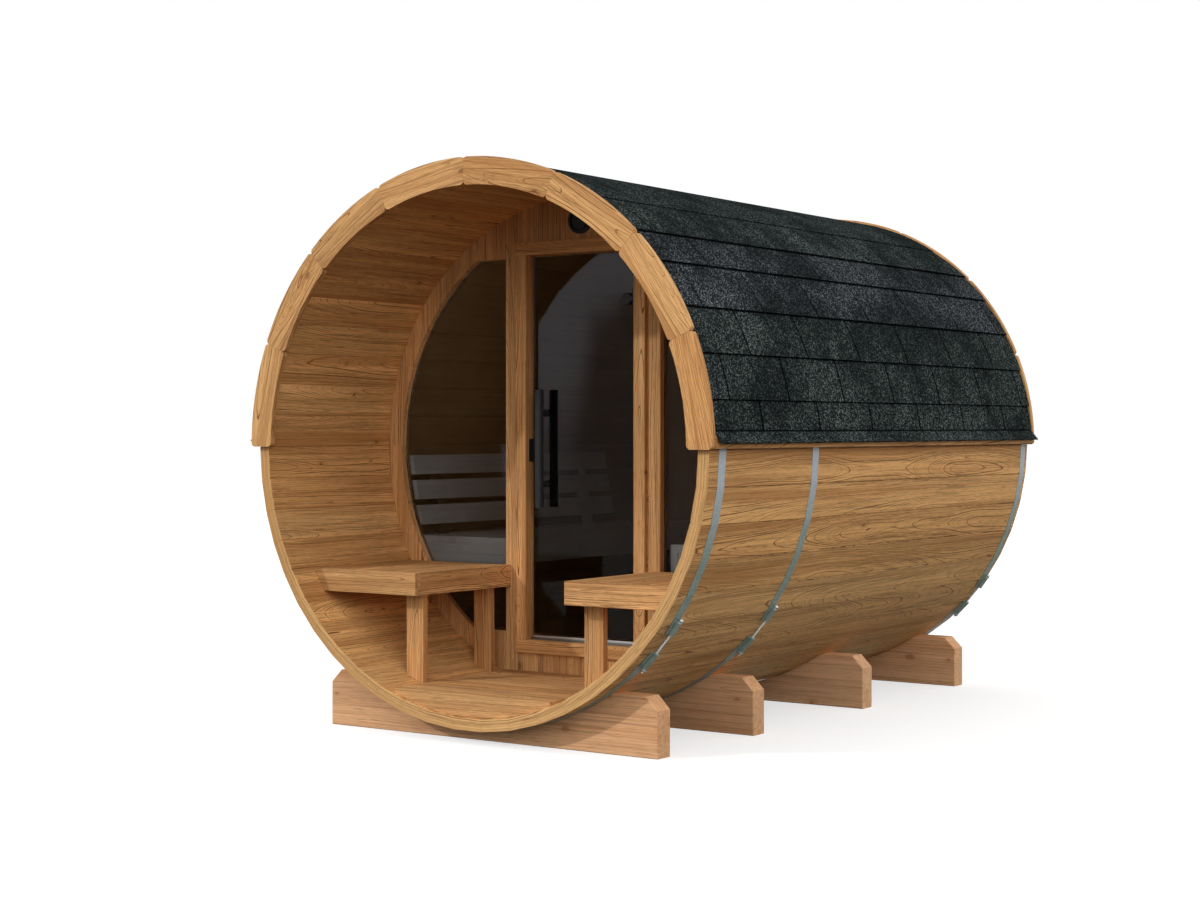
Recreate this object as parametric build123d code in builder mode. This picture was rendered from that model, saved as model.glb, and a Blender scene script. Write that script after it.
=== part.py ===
"""Barrel sauna with a covered porch, a framed front wall and a hinged glass door.

Frame: +X to the right seen from the front, +Y from the front to the rear, +Z up.
The origin is on the ground, under the middle of the barrel. Lengths are in mm.
"""
import os
from math import cos, degrees, radians, sin, sqrt, tan

from build123d import *

# Barrel of flat staves
barrel_length = 2500.0
stave_apothem = 954.0
stave_thickness = 42.0
stave_count = 50
stave_joint_gap = 0.5
stave_arris = 2.0
fit_gap = 0.3

# Cradles under the barrel, three of them beside a hoop
cradle_hoop_gap = 2.0
cradle_floor = 44.0
cradle_length = 1400.0
cradle_thickness = 76.0
cradle_height = 200.0
cradle_corner = 45.0
cradle_arris = 3.0

# Steel hoops and their tensioners: one near each end and one around the front wall
hoop_front_inset = 77.0
hoop_wall_offset = 20.0
hoop_rear_inset = 44.0
hoop_width = 42.0
hoop_thickness = 1.5
tensioner_upper_deg = -36.2
tensioner_lower_deg = -44.8
bracket_plate = 4.0
bracket_tunnel_radius = 10.0
bracket_upper_length = 54.0
bracket_lower_length = 70.0
bolt_lift = 9.0
bolt_radius = 4.0
bolt_head_radius = 9.0
bolt_head_length = 9.0
bolt_overhang = 8.0
nut_side_count = 6
bolt_side_count = 10
tunnel_side_count = 12

# End trim of curved boards over the upper half of both ends
trim_width = 94.0
trim_thickness = 22.0
trim_over_roof = 5.0
trim_board_count = 8
trim_joint_gap = 0.6
trim_corner = 9.0
trim_corner_ease = 3.0
board_arris = 2.0

# Roof covering in courses, by the angle of each lower edge above the axis
course_edges_deg = (3.6, 9.3, 18.2, 27.7, 37.9, 46.0, 57.0, 90.0)
course_butt_thickness = 15.0
course_head_thickness = 9.0
course_gap = 0.4
drip_flare_out = 33.0
drip_flare_down = 39.0
drip_thickness = 4.0
batten_drop = 54.0
batten_depth = 24.0

# Front wall, with two half-moon windows beside a framed door
porch_depth = 667.0
wall_thickness = 45.0
wall_board_width = 95.0
wall_board_gap = 0.5
window_rim = 66.0
window_rise_share = 0.7645
window_drop_share = 0.757
mullion_width = 56.0
glass_thickness = 8.0
glass_setback = 24.0

# Door frame, proud of the wall
frame_half_width = 287.0
frame_member = 49.0
frame_proud = 15.0
door_rise_share = 0.7745
door_drop_share = 0.7865
threshold_height = 17.0
threshold_depth = 22.0
threshold_lead = 7.0

# Glass leaf on two pin hinges
leaf_side_clearance = 7.5
leaf_end_clearance = 6.0
hinge_end_inset = 168.0
hinge_plate_height = 65.0
hinge_plate_thickness = 2.0
hinge_plate_depth = 34.0
hinge_plate_lead = 8.0
hinge_axis_lead = 13.0
hinge_axis_inset = 9.0
knuckle_radius = 6.5
knuckle_height = 20.0
knuckle_gap = 1.0
pin_radius = 3.0
pin_clearance = 0.08
clamp_radius = 21.0
clamp_thickness = 9.0
clamp_inset = 51.0
clamp_arm_height = 16.0
clamp_arm_depth = 7.0
clamp_bolt_radius = 7.0
clamp_side_count = 24
post_side_count = 12

# Handle bars on both faces of the leaf, with the catch plate on the jamb
handle_rise = 209.0
handle_drop = 225.0
handle_radius = 16.0
handle_inset = 57.0
handle_standoff = 44.0
handle_post_radius = 13.0
handle_post_inset = 86.0
catch_height = 84.0
catch_drop = 15.0
catch_thickness = 2.0
catch_depth = 26.0
catch_back = 6.0

# Round vent between the door head and the staves
vent_radius = 49.0
vent_rim = 9.0
vent_disc_radius = 33.0
vent_rise_share = 0.43
vent_proud = 12.0
vent_back = 3.0
vent_side_count = 32

# Rear wall, set in from the rear rim
rear_recess = 50.0

# Floors of the porch and the cabin
deck_drop_share = 0.9137
deck_bench_lap = 12.0
deck_thickness = 28.0
deck_front_setback = 15.0
deck_front_board = 28.0
deck_board_width = 120.0
deck_board_gap = 0.8

# Porch benches
bench_inner_edge = 320.0
bench_front = 112.0
bench_drop_share = 0.4848
bench_height = 80.0
bench_board = 28.0
leg_width = 78.0
leg_thickness = 26.0
leg_front_setback = 78.0
leg_wall_setback = 62.0

# Cabin benches and the left back rest
seat_inner_edge = 360.0
seat_drop_share = 0.381
seat_height = 98.0
seat_board = 28.0
rest_slat_height = 74.0
rest_slat_gap = 23.0
rest_slat_count = 3
rest_slat_thickness = 22.0
rest_lift = 41.0
rest_depth_share = 0.859
rest_lean_deg = 11.0
rest_length_share = 0.78
rest_end_gap = 8.0
rest_upright_width = 44.0
rest_upright_depth = 28.0
rest_upright_inset = 140.0

# Sizes worked out from the ones above
stave_pitch_deg = 360.0 / stave_count
half_pitch = radians(stave_pitch_deg / 2)
stave_corner_radius = stave_apothem / cos(half_pitch)
inner_apothem = stave_apothem - stave_thickness
inside_radius = inner_apothem - fit_gap
axis_height = cradle_floor + stave_corner_radius + fit_gap
y_front = -barrel_length / 2
y_rear = barrel_length / 2
hoop_outer_radius = stave_corner_radius + fit_gap + hoop_thickness
roof_inner_radius = hoop_outer_radius + fit_gap
course_butt_radius = roof_inner_radius + course_butt_thickness
course_head_radius = roof_inner_radius + course_head_thickness
trim_outer_radius = course_butt_radius + trim_over_roof
trim_inner_radius = trim_outer_radius - trim_width
wall_front_y = y_front + porch_depth
wall_back_y = wall_front_y + wall_thickness
rear_wall_y = y_rear - rear_recess - wall_thickness
frame_front_y = wall_front_y - frame_proud
frame_depth = wall_back_y - frame_front_y
opening_half_width = frame_half_width - frame_member
door_bottom = axis_height - door_drop_share * inside_radius
door_top = axis_height + door_rise_share * inside_radius
window_radius = inside_radius - window_rim
window_bottom = axis_height - window_drop_share * inside_radius
window_top = axis_height + window_rise_share * inside_radius
window_inner_edge = frame_half_width + mullion_width
glass_y = wall_front_y + glass_setback
leaf_bottom = door_bottom + threshold_height + leaf_end_clearance
leaf_top = door_top - leaf_end_clearance
leaf_half_width = opening_half_width - leaf_side_clearance
hinge_x = opening_half_width - hinge_axis_inset
hinge_y = glass_y - hinge_axis_lead
clamp_x = opening_half_width - clamp_inset
hinge_heights = (leaf_bottom + hinge_end_inset, leaf_top - hinge_end_inset)
handle_x = handle_inset - leaf_half_width
handle_posts = (axis_height - handle_drop + handle_post_inset, axis_height + handle_rise - handle_post_inset)
vent_low = door_top + frame_member
vent_height = vent_low + (axis_height + inside_radius - vent_low) * vent_rise_share
deck_top = axis_height - deck_drop_share * inside_radius
deck_half_width = bench_inner_edge + deck_bench_lap
deck_start_y = y_front + deck_front_setback + deck_front_board + fit_gap
bench_top = axis_height - bench_drop_share * inside_radius
seat_top = axis_height - seat_drop_share * inside_radius
seat_y = wall_back_y
seat_length = rear_wall_y - seat_y
rest_length = rest_length_share * seat_length
seat_depth = sqrt(inside_radius**2 - (axis_height - seat_top) ** 2) - seat_inner_edge
sides = (1, -1)
toward_rear = (0, 1, 0)
upward = (0, 0, 1)

# Staves by their number around the barrel, counted from the right at axis height
top_stave = stave_count // 4
bottom_stave = top_stave + stave_count // 2
group_reach = stave_count // 12
crown_staves = range(top_stave - group_reach, top_stave + group_reach + 1)
bottom_staves = range(bottom_stave - group_reach, bottom_stave + group_reach + 1)
upper_right_staves = range(0, crown_staves.start)
upper_left_staves = range(crown_staves.stop, stave_count // 2)
lower_left_staves = range(stave_count // 2, bottom_staves.start)
lower_right_staves = range(bottom_staves.stop, stave_count)

# Places of the hoops' middles and of the cradles' front faces
hoop_front_y = y_front + hoop_front_inset
hoop_middle_y = wall_front_y + hoop_wall_offset
hoop_rear_y = y_rear - hoop_rear_inset
hoop_middles = (hoop_front_y, hoop_middle_y, hoop_rear_y)
cradle_offset = hoop_width / 2 + cradle_hoop_gap
cradle_front_y = hoop_front_y + cradle_offset
cradle_second_y = hoop_middle_y + cradle_offset
cradle_rear_y = hoop_rear_y - cradle_offset - cradle_thickness
cradle_third_y = (cradle_second_y + cradle_rear_y) / 2


def cross_plane(y, height=0.0):
    """Plane across the barrel at y, with local x to the right and local y upward."""
    return Plane(origin=(0, y, height), x_dir=(1, 0, 0), z_dir=(0, -1, 0))


def radial_plane(y, angle_deg):
    """Plane across the barrel at its axis, with local x out along the angle."""
    turn = radians(angle_deg)
    return Plane(origin=(0, y, axis_height), x_dir=(cos(turn), 0, sin(turn)), z_dir=(0, -1, 0))


def polar_point(radius, angle_deg):
    turn = radians(angle_deg)
    return (radius * cos(turn), radius * sin(turn))


def mirrored_deg(angle_deg, side):
    """An angle on the right, or its mirror image on the left."""
    return angle_deg if side > 0 else 180.0 - angle_deg


def stave_profile(index):
    """Flat stave with bevelled edges, its arrises taken off on both faces."""
    outer_half = stave_apothem * tan(half_pitch) - stave_joint_gap / 2
    inner_half = inner_apothem * tan(half_pitch) - stave_joint_gap / 2
    slope = (outer_half - inner_half) / stave_thickness * stave_arris
    half = [
        (inner_apothem, inner_half - stave_arris),
        (inner_apothem + stave_arris, inner_half + slope),
        (stave_apothem - stave_arris, outer_half - slope),
        (stave_apothem, outer_half - stave_arris),
    ]
    outline = [(u, -v) for u, v in half] + [(u, v) for u, v in reversed(half)]
    with BuildSketch(radial_plane(y_front, (index + 0.5) * stave_pitch_deg), mode=Mode.PRIVATE) as profile:
        Polygon(*outline, align=None)
    return profile.sketch


def cradle_profile(y):
    """Board on edge with a hollow for the barrel and sloped upper corners."""
    half = cradle_length / 2
    shoulder = cradle_height - cradle_corner
    right = [(half, 0), (half, shoulder), (half - cradle_corner, cradle_height)]
    outline = right + [(-u, v) for u, v in reversed(right)]
    with BuildSketch(cross_plane(y), mode=Mode.PRIVATE) as profile:
        Polygon(*outline, align=None)
        with Locations((0, axis_height)):
            Circle(stave_corner_radius + fit_gap, mode=Mode.SUBTRACT)
    return profile.sketch


def hoop_profile(y):
    """Band that follows the flats of the staves, open between its two brackets."""
    start, end = tensioner_upper_deg, 360.0 + tensioner_lower_deg
    joints = [i * stave_pitch_deg for i in range(-stave_count, 2 * stave_count)]
    turns = [start] + [a for a in joints if start < a < end] + [end]

    def reach(angle_deg, offset):
        """Distance from the axis to the band's line over the flat at an angle."""
        from_middle = (angle_deg / stave_pitch_deg) % 1 - 0.5
        return (stave_apothem + offset) / cos(radians(from_middle * stave_pitch_deg))

    inner = [polar_point(reach(a, fit_gap), a) for a in turns]
    outer = [polar_point(reach(a, fit_gap + hoop_thickness), a) for a in turns]
    with BuildSketch(cross_plane(y, axis_height), mode=Mode.PRIVATE) as profile:
        Polygon(*inner, *reversed(outer), align=None)
    return profile.sketch


def trim_board(y, index):
    """One curved board of the end trim, its corners eased at the joints."""
    pitch = 180.0 / trim_board_count
    gap = degrees(trim_joint_gap / 2 / trim_inner_radius)
    start, end = index * pitch + gap, (index + 1) * pitch - gap
    with BuildSketch(cross_plane(y, axis_height), mode=Mode.PRIVATE) as profile:
        with BuildLine():
            CenterArc((0, 0), trim_inner_radius, start, end - start)
            CenterArc((0, 0), trim_outer_radius, start, end - start)
            Line(polar_point(trim_inner_radius, start), polar_point(trim_outer_radius, start))
            Line(polar_point(trim_inner_radius, end), polar_point(trim_outer_radius, end))
        make_face()
        chamfer(profile.vertices(), length=trim_corner)
        chamfer(profile.vertices(), length=trim_corner_ease)
    return profile.sketch


def course_profile(low_deg, high_deg, side):
    """One roof course: thick at its lower edge, thin where the next one laps it."""
    trimmed = high_deg - degrees(course_gap / roof_inner_radius)
    low, mid, high = (mirrored_deg(a, side) for a in (low_deg, (low_deg + trimmed) / 2, trimmed))
    middle_radius = (course_butt_radius + course_head_radius) / 2
    with BuildSketch(cross_plane(y_front, axis_height), mode=Mode.PRIVATE) as profile:
        with BuildLine():
            ThreePointArc(*(polar_point(roof_inner_radius, a) for a in (low, mid, high)))
            Line(polar_point(roof_inner_radius, high), polar_point(course_head_radius, high))
            ThreePointArc(
                polar_point(course_head_radius, high),
                polar_point(middle_radius, mid),
                polar_point(course_butt_radius, low),
            )
            Line(polar_point(course_butt_radius, low), polar_point(roof_inner_radius, low))
        make_face()
    return profile.sketch


def eave_points():
    """Upper and lower edges of the flared drip strip, seen across the barrel."""
    start_deg = course_edges_deg[0] - degrees(course_gap / roof_inner_radius)
    top = Vector(*polar_point(course_butt_radius, start_deg))
    tip = top + Vector(drip_flare_out, -drip_flare_down)
    inward = Vector(-drip_flare_down, -drip_flare_out).normalized()
    return top, tip, tip + inward * drip_thickness, top + inward * drip_thickness, inward


def drip_profile(side):
    """Flared strip under the lowest course."""
    outline = [(side * p.X, p.Y) for p in eave_points()[:4]]
    with BuildSketch(cross_plane(y_front, axis_height), mode=Mode.PRIVATE) as profile:
        Polygon(*outline, align=None)
    return profile.sketch


def batten_profile(side):
    """Wooden strip that backs the drip strip and covers the ends of the courses."""
    top, tip, low_tip, low_top, inward = eave_points()
    high = low_top + inward * fit_gap
    outer = roof_inner_radius + batten_depth
    slope = (low_tip.Y - low_top.Y) / (low_tip.X - low_top.X)
    bottom = high.Y - batten_drop
    inner_foot = sqrt(roof_inner_radius**2 - bottom**2)
    inner_head = sqrt(roof_inner_radius**2 - high.Y**2)
    outline = [
        (inner_foot, bottom),
        (outer, bottom),
        (outer, high.Y + slope * (outer - high.X)),
        (high.X, high.Y),
        (inner_head, high.Y),
    ]
    with BuildSketch(cross_plane(y_front, axis_height), mode=Mode.PRIVATE) as profile:
        Polygon(*((side * u, v) for u, v in outline), align=None)
        Circle(roof_inner_radius, mode=Mode.SUBTRACT)
    return profile.sketch


def barrel_slice(y, x_low, x_high, z_low, z_high):
    """Rectangle across the barrel, cut to the round of its inside."""
    with BuildSketch(cross_plane(y), mode=Mode.PRIVATE) as face:
        with Locations((0, axis_height)):
            Circle(inside_radius)
        with Locations(((x_low + x_high) / 2, (z_low + z_high) / 2)):
            Rectangle(x_high - x_low, z_high - z_low, mode=Mode.INTERSECT)
    return face.sketch


def side_slice(y, side, near, far, z_low, z_high):
    """The same on one side, between two distances from the middle."""
    x_low, x_high = sorted((side * near, side * far))
    return barrel_slice(y, x_low, x_high, z_low, z_high)


def window_face(y, side, shrink=0.0):
    """Half-moon between the window's straight edges and its arc."""
    width = window_radius - window_inner_edge
    middle = (window_bottom + window_top) / 2
    with BuildSketch(cross_plane(y), mode=Mode.PRIVATE) as face:
        with Locations((0, axis_height)):
            Circle(window_radius - shrink)
        with Locations((side * (window_inner_edge + shrink + width / 2), middle)):
            Rectangle(width, window_top - window_bottom - 2 * shrink, mode=Mode.INTERSECT)
    return face.sketch


def board_spans(low, high):
    """Boards of about the wall board's width between two places, less their gaps."""
    count = max(1, round((high - low) / wall_board_width))
    width = (high - low) / count
    half_gap = wall_board_gap / 2
    return [(low + i * width + half_gap, low + (i + 1) * width - half_gap) for i in range(count)]


def deck_spans(low, high):
    """Floor boards of about the deck board's width between two places, less their gaps."""
    count = max(1, round((high - low + deck_board_gap) / (deck_board_width + deck_board_gap)))
    pitch = (high - low + deck_board_gap) / count
    return [(low + i * pitch, low + (i + 1) * pitch - deck_board_gap) for i in range(count)]


def deck_face(y):
    """Floor board seen along the barrel, its ends cut to the round of the staves."""
    return barrel_slice(y, -deck_half_width, deck_half_width, deck_top - deck_thickness, deck_top)


def block_face(plane, u_low, u_high, v_low, v_high):
    """Plain rectangle between two places each way on a plane."""
    with BuildSketch(plane, mode=Mode.PRIVATE) as face:
        with Locations(((u_low + u_high) / 2, (v_low + v_high) / 2)):
            Rectangle(u_high - u_low, v_high - v_low)
    return face.sketch


def round_face(plane, u, v, radius, side_count=0):
    """Plain disc on a plane, or one with flat sides where their number is given."""
    with BuildSketch(plane, mode=Mode.PRIVATE) as face:
        with Locations((u, v)):
            if side_count:
                RegularPolygon(radius, side_count)
            else:
                Circle(radius)
    return face.sketch


def bracket_plane(y, angle_deg):
    """Plane on the hoop across its run, with local x along the barrel, local y outward."""
    u, v = polar_point(hoop_outer_radius, angle_deg)
    turn = radians(angle_deg)
    return Plane(origin=(u, y, axis_height + v), x_dir=(0, 1, 0), z_dir=(sin(turn), 0, -cos(turn)))


def bracket_profile(y, angle_deg):
    """Bracket plate with a round tunnel for the bolt."""
    with BuildSketch(bracket_plane(y, angle_deg), mode=Mode.PRIVATE) as profile:
        with Locations((0, bracket_plate / 2)):
            Rectangle(hoop_width, bracket_plate)
        with Locations((0, bolt_lift)):
            RegularPolygon(bracket_tunnel_radius, tunnel_side_count)
        with Locations((0, -bracket_tunnel_radius)):
            Rectangle(hoop_width, 2 * bracket_tunnel_radius, mode=Mode.SUBTRACT)
    return profile.sketch


def bolt_line(y):
    """Start and direction of a tensioner's bolt, from its head down to its nut."""
    radius = hoop_outer_radius + bolt_lift
    upper, lower = (polar_point(radius, a) for a in (tensioner_upper_deg, tensioner_lower_deg))
    start = Vector(upper[0], y, axis_height + upper[1])
    end = Vector(lower[0], y, axis_height + lower[1])
    return start, end, (end - start).normalized()


def lean_reach(height, depth):
    """Distance from the middle to the back rest's layer at a height."""
    lean = radians(rest_lean_deg)
    face = seat_inner_edge + rest_depth_share * seat_depth
    return face + (height - seat_top) * tan(lean) + depth / cos(lean)


def rest_face(y, z_low, z_high, depth_low, depth_high):
    """Leaning layer of the left back rest between two heights."""
    outline = [
        (-lean_reach(z_low, depth_low), z_low),
        (-lean_reach(z_low, depth_high), z_low),
        (-lean_reach(z_high, depth_high), z_high),
        (-lean_reach(z_high, depth_low), z_high),
    ]
    with BuildSketch(cross_plane(y), mode=Mode.PRIVATE) as face:
        Polygon(*outline, align=None)
    return face.sketch


def front_lines(builder):
    """Straight edges around the foremost faces."""
    return builder.faces().group_by(Axis.Y)[0].edges().filter_by(GeomType.LINE)


def end_lines(builder):
    """Straight edges around the foremost and the rearmost faces."""
    ends = builder.faces().group_by(Axis.Y)
    return (ends[0] + ends[-1]).edges().filter_by(GeomType.LINE)


os.makedirs("parts", exist_ok=True)

# The barrel's staves, in six groups around it
with BuildPart() as staves_bottom:
    for number in bottom_staves:
        extrude(stave_profile(number), amount=barrel_length, dir=toward_rear)
staves_bottom.part.label = "staves_bottom"
export_step(staves_bottom.part, "parts/staves_bottom.step")

with BuildPart() as staves_lower_right:
    for number in lower_right_staves:
        extrude(stave_profile(number), amount=barrel_length, dir=toward_rear)
staves_lower_right.part.label = "staves_lower_right"
export_step(staves_lower_right.part, "parts/staves_lower_right.step")

with BuildPart() as staves_upper_right:
    for number in upper_right_staves:
        extrude(stave_profile(number), amount=barrel_length, dir=toward_rear)
staves_upper_right.part.label = "staves_upper_right"
export_step(staves_upper_right.part, "parts/staves_upper_right.step")

with BuildPart() as staves_crown:
    for number in crown_staves:
        extrude(stave_profile(number), amount=barrel_length, dir=toward_rear)
staves_crown.part.label = "staves_crown"
export_step(staves_crown.part, "parts/staves_crown.step")

with BuildPart() as staves_upper_left:
    for number in upper_left_staves:
        extrude(stave_profile(number), amount=barrel_length, dir=toward_rear)
staves_upper_left.part.label = "staves_upper_left"
export_step(staves_upper_left.part, "parts/staves_upper_left.step")

with BuildPart() as staves_lower_left:
    for number in lower_left_staves:
        extrude(stave_profile(number), amount=barrel_length, dir=toward_rear)
staves_lower_left.part.label = "staves_lower_left"
export_step(staves_lower_left.part, "parts/staves_lower_left.step")

# Four cradles
with BuildPart() as cradle_front:
    extrude(cradle_profile(cradle_front_y), amount=cradle_thickness, dir=toward_rear)
    chamfer(end_lines(cradle_front), length=cradle_arris)
cradle_front.part.label = "cradle_front"
export_step(cradle_front.part, "parts/cradle_front.step")

with BuildPart() as cradle_second:
    extrude(cradle_profile(cradle_second_y), amount=cradle_thickness, dir=toward_rear)
    chamfer(end_lines(cradle_second), length=cradle_arris)
cradle_second.part.label = "cradle_second"
export_step(cradle_second.part, "parts/cradle_second.step")

with BuildPart() as cradle_third:
    extrude(cradle_profile(cradle_third_y), amount=cradle_thickness, dir=toward_rear)
    chamfer(end_lines(cradle_third), length=cradle_arris)
cradle_third.part.label = "cradle_third"
export_step(cradle_third.part, "parts/cradle_third.step")

with BuildPart() as cradle_rear:
    extrude(cradle_profile(cradle_rear_y), amount=cradle_thickness, dir=toward_rear)
    chamfer(end_lines(cradle_rear), length=cradle_arris)
cradle_rear.part.label = "cradle_rear"
export_step(cradle_rear.part, "parts/cradle_rear.step")

# Three steel hoops, each open under its tensioner
with BuildPart() as hoops:
    for middle_y in hoop_middles:
        extrude(hoop_profile(middle_y - hoop_width / 2), amount=hoop_width, dir=toward_rear)
hoops.part.label = "hoops"
export_step(hoops.part, "parts/hoops.step")

# Tensioners: two tunnel brackets and a long bolt with its head and nut
with BuildPart() as hoop_tensioners:
    for middle_y in hoop_middles:
        for angle, run in (
            (tensioner_upper_deg, bracket_upper_length),
            (tensioner_lower_deg, bracket_lower_length),
        ):
            extrude(bracket_profile(middle_y, angle), amount=run / 2, both=True)
        upper, lower, along = bolt_line(middle_y)
        head = upper - along * (bracket_upper_length / 2 + bolt_head_length)
        tail = lower + along * (bracket_lower_length / 2)
        reach = (tail - head).length + bolt_overhang
        with BuildSketch(Plane(origin=head, x_dir=toward_rear, z_dir=along)):
            RegularPolygon(bolt_radius, bolt_side_count)
        extrude(amount=reach)
        with BuildSketch(Plane(origin=head, x_dir=toward_rear, z_dir=along)):
            RegularPolygon(bolt_head_radius, nut_side_count)
        extrude(amount=bolt_head_length)
        with BuildSketch(Plane(origin=tail, x_dir=toward_rear, z_dir=along)):
            RegularPolygon(bolt_head_radius, nut_side_count)
        extrude(amount=bolt_head_length)
hoop_tensioners.part.label = "hoop_tensioners"
export_step(hoop_tensioners.part, "parts/hoop_tensioners.step")

# Curved trim boards on both ends
with BuildPart() as trim_front:
    for number in range(trim_board_count):
        extrude(trim_board(y_front - trim_thickness, number), amount=trim_thickness, dir=toward_rear)
trim_front.part.label = "trim_front"
export_step(trim_front.part, "parts/trim_front.step")

with BuildPart() as trim_rear:
    for number in range(trim_board_count):
        extrude(trim_board(y_rear, number), amount=trim_thickness, dir=toward_rear)
trim_rear.part.label = "trim_rear"
export_step(trim_rear.part, "parts/trim_rear.step")

# Lapped roof courses, the drip strips and the battens behind them
with BuildPart() as roof_right:
    for low, high in zip(course_edges_deg[:-1], course_edges_deg[1:]):
        extrude(course_profile(low, high, 1), amount=barrel_length, dir=toward_rear)
roof_right.part.label = "roof_right"
export_step(roof_right.part, "parts/roof_right.step")

with BuildPart() as roof_left:
    for low, high in zip(course_edges_deg[:-1], course_edges_deg[1:]):
        extrude(course_profile(low, high, -1), amount=barrel_length, dir=toward_rear)
roof_left.part.label = "roof_left"
export_step(roof_left.part, "parts/roof_left.step")

with BuildPart() as drip_strips:
    for side in sides:
        extrude(drip_profile(side), amount=barrel_length, dir=toward_rear)
drip_strips.part.label = "drip_strips"
export_step(drip_strips.part, "parts/drip_strips.step")

with BuildPart() as eave_battens:
    for side in sides:
        extrude(batten_profile(side), amount=barrel_length, dir=toward_rear)
eave_battens.part.label = "eave_battens"
export_step(eave_battens.part, "parts/eave_battens.step")

# Front wall of upright boards, in four fields around the windows and the door
with BuildPart() as front_wall_right:
    for low, high in board_spans(window_inner_edge, inside_radius):
        extrude(side_slice(wall_front_y, 1, low, high, 0, 2 * axis_height), amount=wall_thickness, dir=toward_rear)
    extrude(window_face(wall_front_y, 1), amount=wall_thickness, dir=toward_rear, mode=Mode.SUBTRACT)
    chamfer(front_lines(front_wall_right).filter_by(Axis.Z), length=board_arris)
front_wall_right.part.label = "front_wall_right"
export_step(front_wall_right.part, "parts/front_wall_right.step")

with BuildPart() as front_wall_left:
    for low, high in board_spans(window_inner_edge, inside_radius):
        extrude(side_slice(wall_front_y, -1, low, high, 0, 2 * axis_height), amount=wall_thickness, dir=toward_rear)
    extrude(window_face(wall_front_y, -1), amount=wall_thickness, dir=toward_rear, mode=Mode.SUBTRACT)
    chamfer(front_lines(front_wall_left).filter_by(Axis.Z), length=board_arris)
front_wall_left.part.label = "front_wall_left"
export_step(front_wall_left.part, "parts/front_wall_left.step")

with BuildPart() as front_wall_header:
    for low, high in board_spans(-frame_half_width, frame_half_width):
        face = barrel_slice(wall_front_y, low, high, door_top + frame_member, 2 * axis_height)
        extrude(face, amount=wall_thickness, dir=toward_rear)
    chamfer(front_lines(front_wall_header).filter_by(Axis.Z), length=board_arris)
    hole = round_face(cross_plane(wall_front_y), 0, vent_height, vent_radius - vent_rim)
    extrude(hole, amount=wall_thickness, dir=toward_rear, mode=Mode.SUBTRACT)
front_wall_header.part.label = "front_wall_header"
export_step(front_wall_header.part, "parts/front_wall_header.step")

with BuildPart() as front_wall_base:
    for low, high in board_spans(-frame_half_width, frame_half_width):
        face = barrel_slice(wall_front_y, low, high, 0, door_bottom - frame_member)
        extrude(face, amount=wall_thickness, dir=toward_rear)
    chamfer(front_lines(front_wall_base).filter_by(Axis.Z), length=board_arris)
front_wall_base.part.label = "front_wall_base"
export_step(front_wall_base.part, "parts/front_wall_base.step")

with BuildPart() as mullions:
    for side in sides:
        post = side_slice(wall_front_y, side, frame_half_width, window_inner_edge, 0, 2 * axis_height)
        extrude(post, amount=wall_thickness, dir=toward_rear)
    chamfer(front_lines(mullions).filter_by(Axis.Z), length=board_arris)
mullions.part.label = "mullions"
export_step(mullions.part, "parts/mullions.step")

with BuildPart() as window_panes:
    for side in sides:
        extrude(window_face(glass_y, side, fit_gap), amount=glass_thickness, dir=toward_rear)
window_panes.part.label = "window_panes"
export_step(window_panes.part, "parts/window_panes.step")

# Door frame and threshold
with BuildPart() as door_jambs:
    for side in sides:
        x_low, x_high = sorted((side * opening_half_width, side * frame_half_width))
        jamb = block_face(cross_plane(frame_front_y), x_low, x_high, door_bottom, door_top)
        extrude(jamb, amount=frame_depth, dir=toward_rear)
    chamfer(front_lines(door_jambs).filter_by(Axis.Z), length=board_arris)
door_jambs.part.label = "door_jambs"
export_step(door_jambs.part, "parts/door_jambs.step")

with BuildPart() as door_head:
    head = block_face(
        cross_plane(frame_front_y), -frame_half_width, frame_half_width, door_top, door_top + frame_member
    )
    extrude(head, amount=frame_depth, dir=toward_rear)
    chamfer(front_lines(door_head), length=board_arris)
door_head.part.label = "door_head"
export_step(door_head.part, "parts/door_head.step")

with BuildPart() as door_sill:
    sill = block_face(
        cross_plane(frame_front_y), -frame_half_width, frame_half_width, door_bottom - frame_member, door_bottom
    )
    extrude(sill, amount=frame_depth, dir=toward_rear)
    chamfer(front_lines(door_sill), length=board_arris)
door_sill.part.label = "door_sill"
export_step(door_sill.part, "parts/door_sill.step")

with BuildPart() as threshold:
    strip = block_face(
        cross_plane(glass_y - threshold_lead),
        fit_gap - opening_half_width,
        opening_half_width - fit_gap,
        door_bottom,
        door_bottom + threshold_height,
    )
    extrude(strip, amount=threshold_depth, dir=toward_rear)
threshold.part.label = "threshold"
export_step(threshold.part, "parts/threshold.step")

# Round vent: a rim around a ring-shaped slot and a valve disc
with BuildPart() as vent:
    with BuildSketch(cross_plane(wall_front_y - vent_proud, vent_height)):
        RegularPolygon(vent_radius, vent_side_count)
    extrude(amount=vent_proud, dir=toward_rear)
    with BuildSketch(cross_plane(wall_front_y - vent_proud, vent_height)):
        RegularPolygon(vent_radius - vent_rim, vent_side_count)
        RegularPolygon(vent_disc_radius, vent_side_count, mode=Mode.SUBTRACT)
    extrude(amount=vent_proud - vent_back, dir=toward_rear, mode=Mode.SUBTRACT)
vent.part.label = "vent"
export_step(vent.part, "parts/vent.step")

# Rear wall of upright boards
with BuildPart() as rear_wall:
    for low, high in board_spans(-inside_radius, inside_radius):
        extrude(barrel_slice(rear_wall_y, low, high, 0, 2 * axis_height), amount=wall_thickness, dir=toward_rear)
rear_wall.part.label = "rear_wall"
export_step(rear_wall.part, "parts/rear_wall.step")

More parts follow.
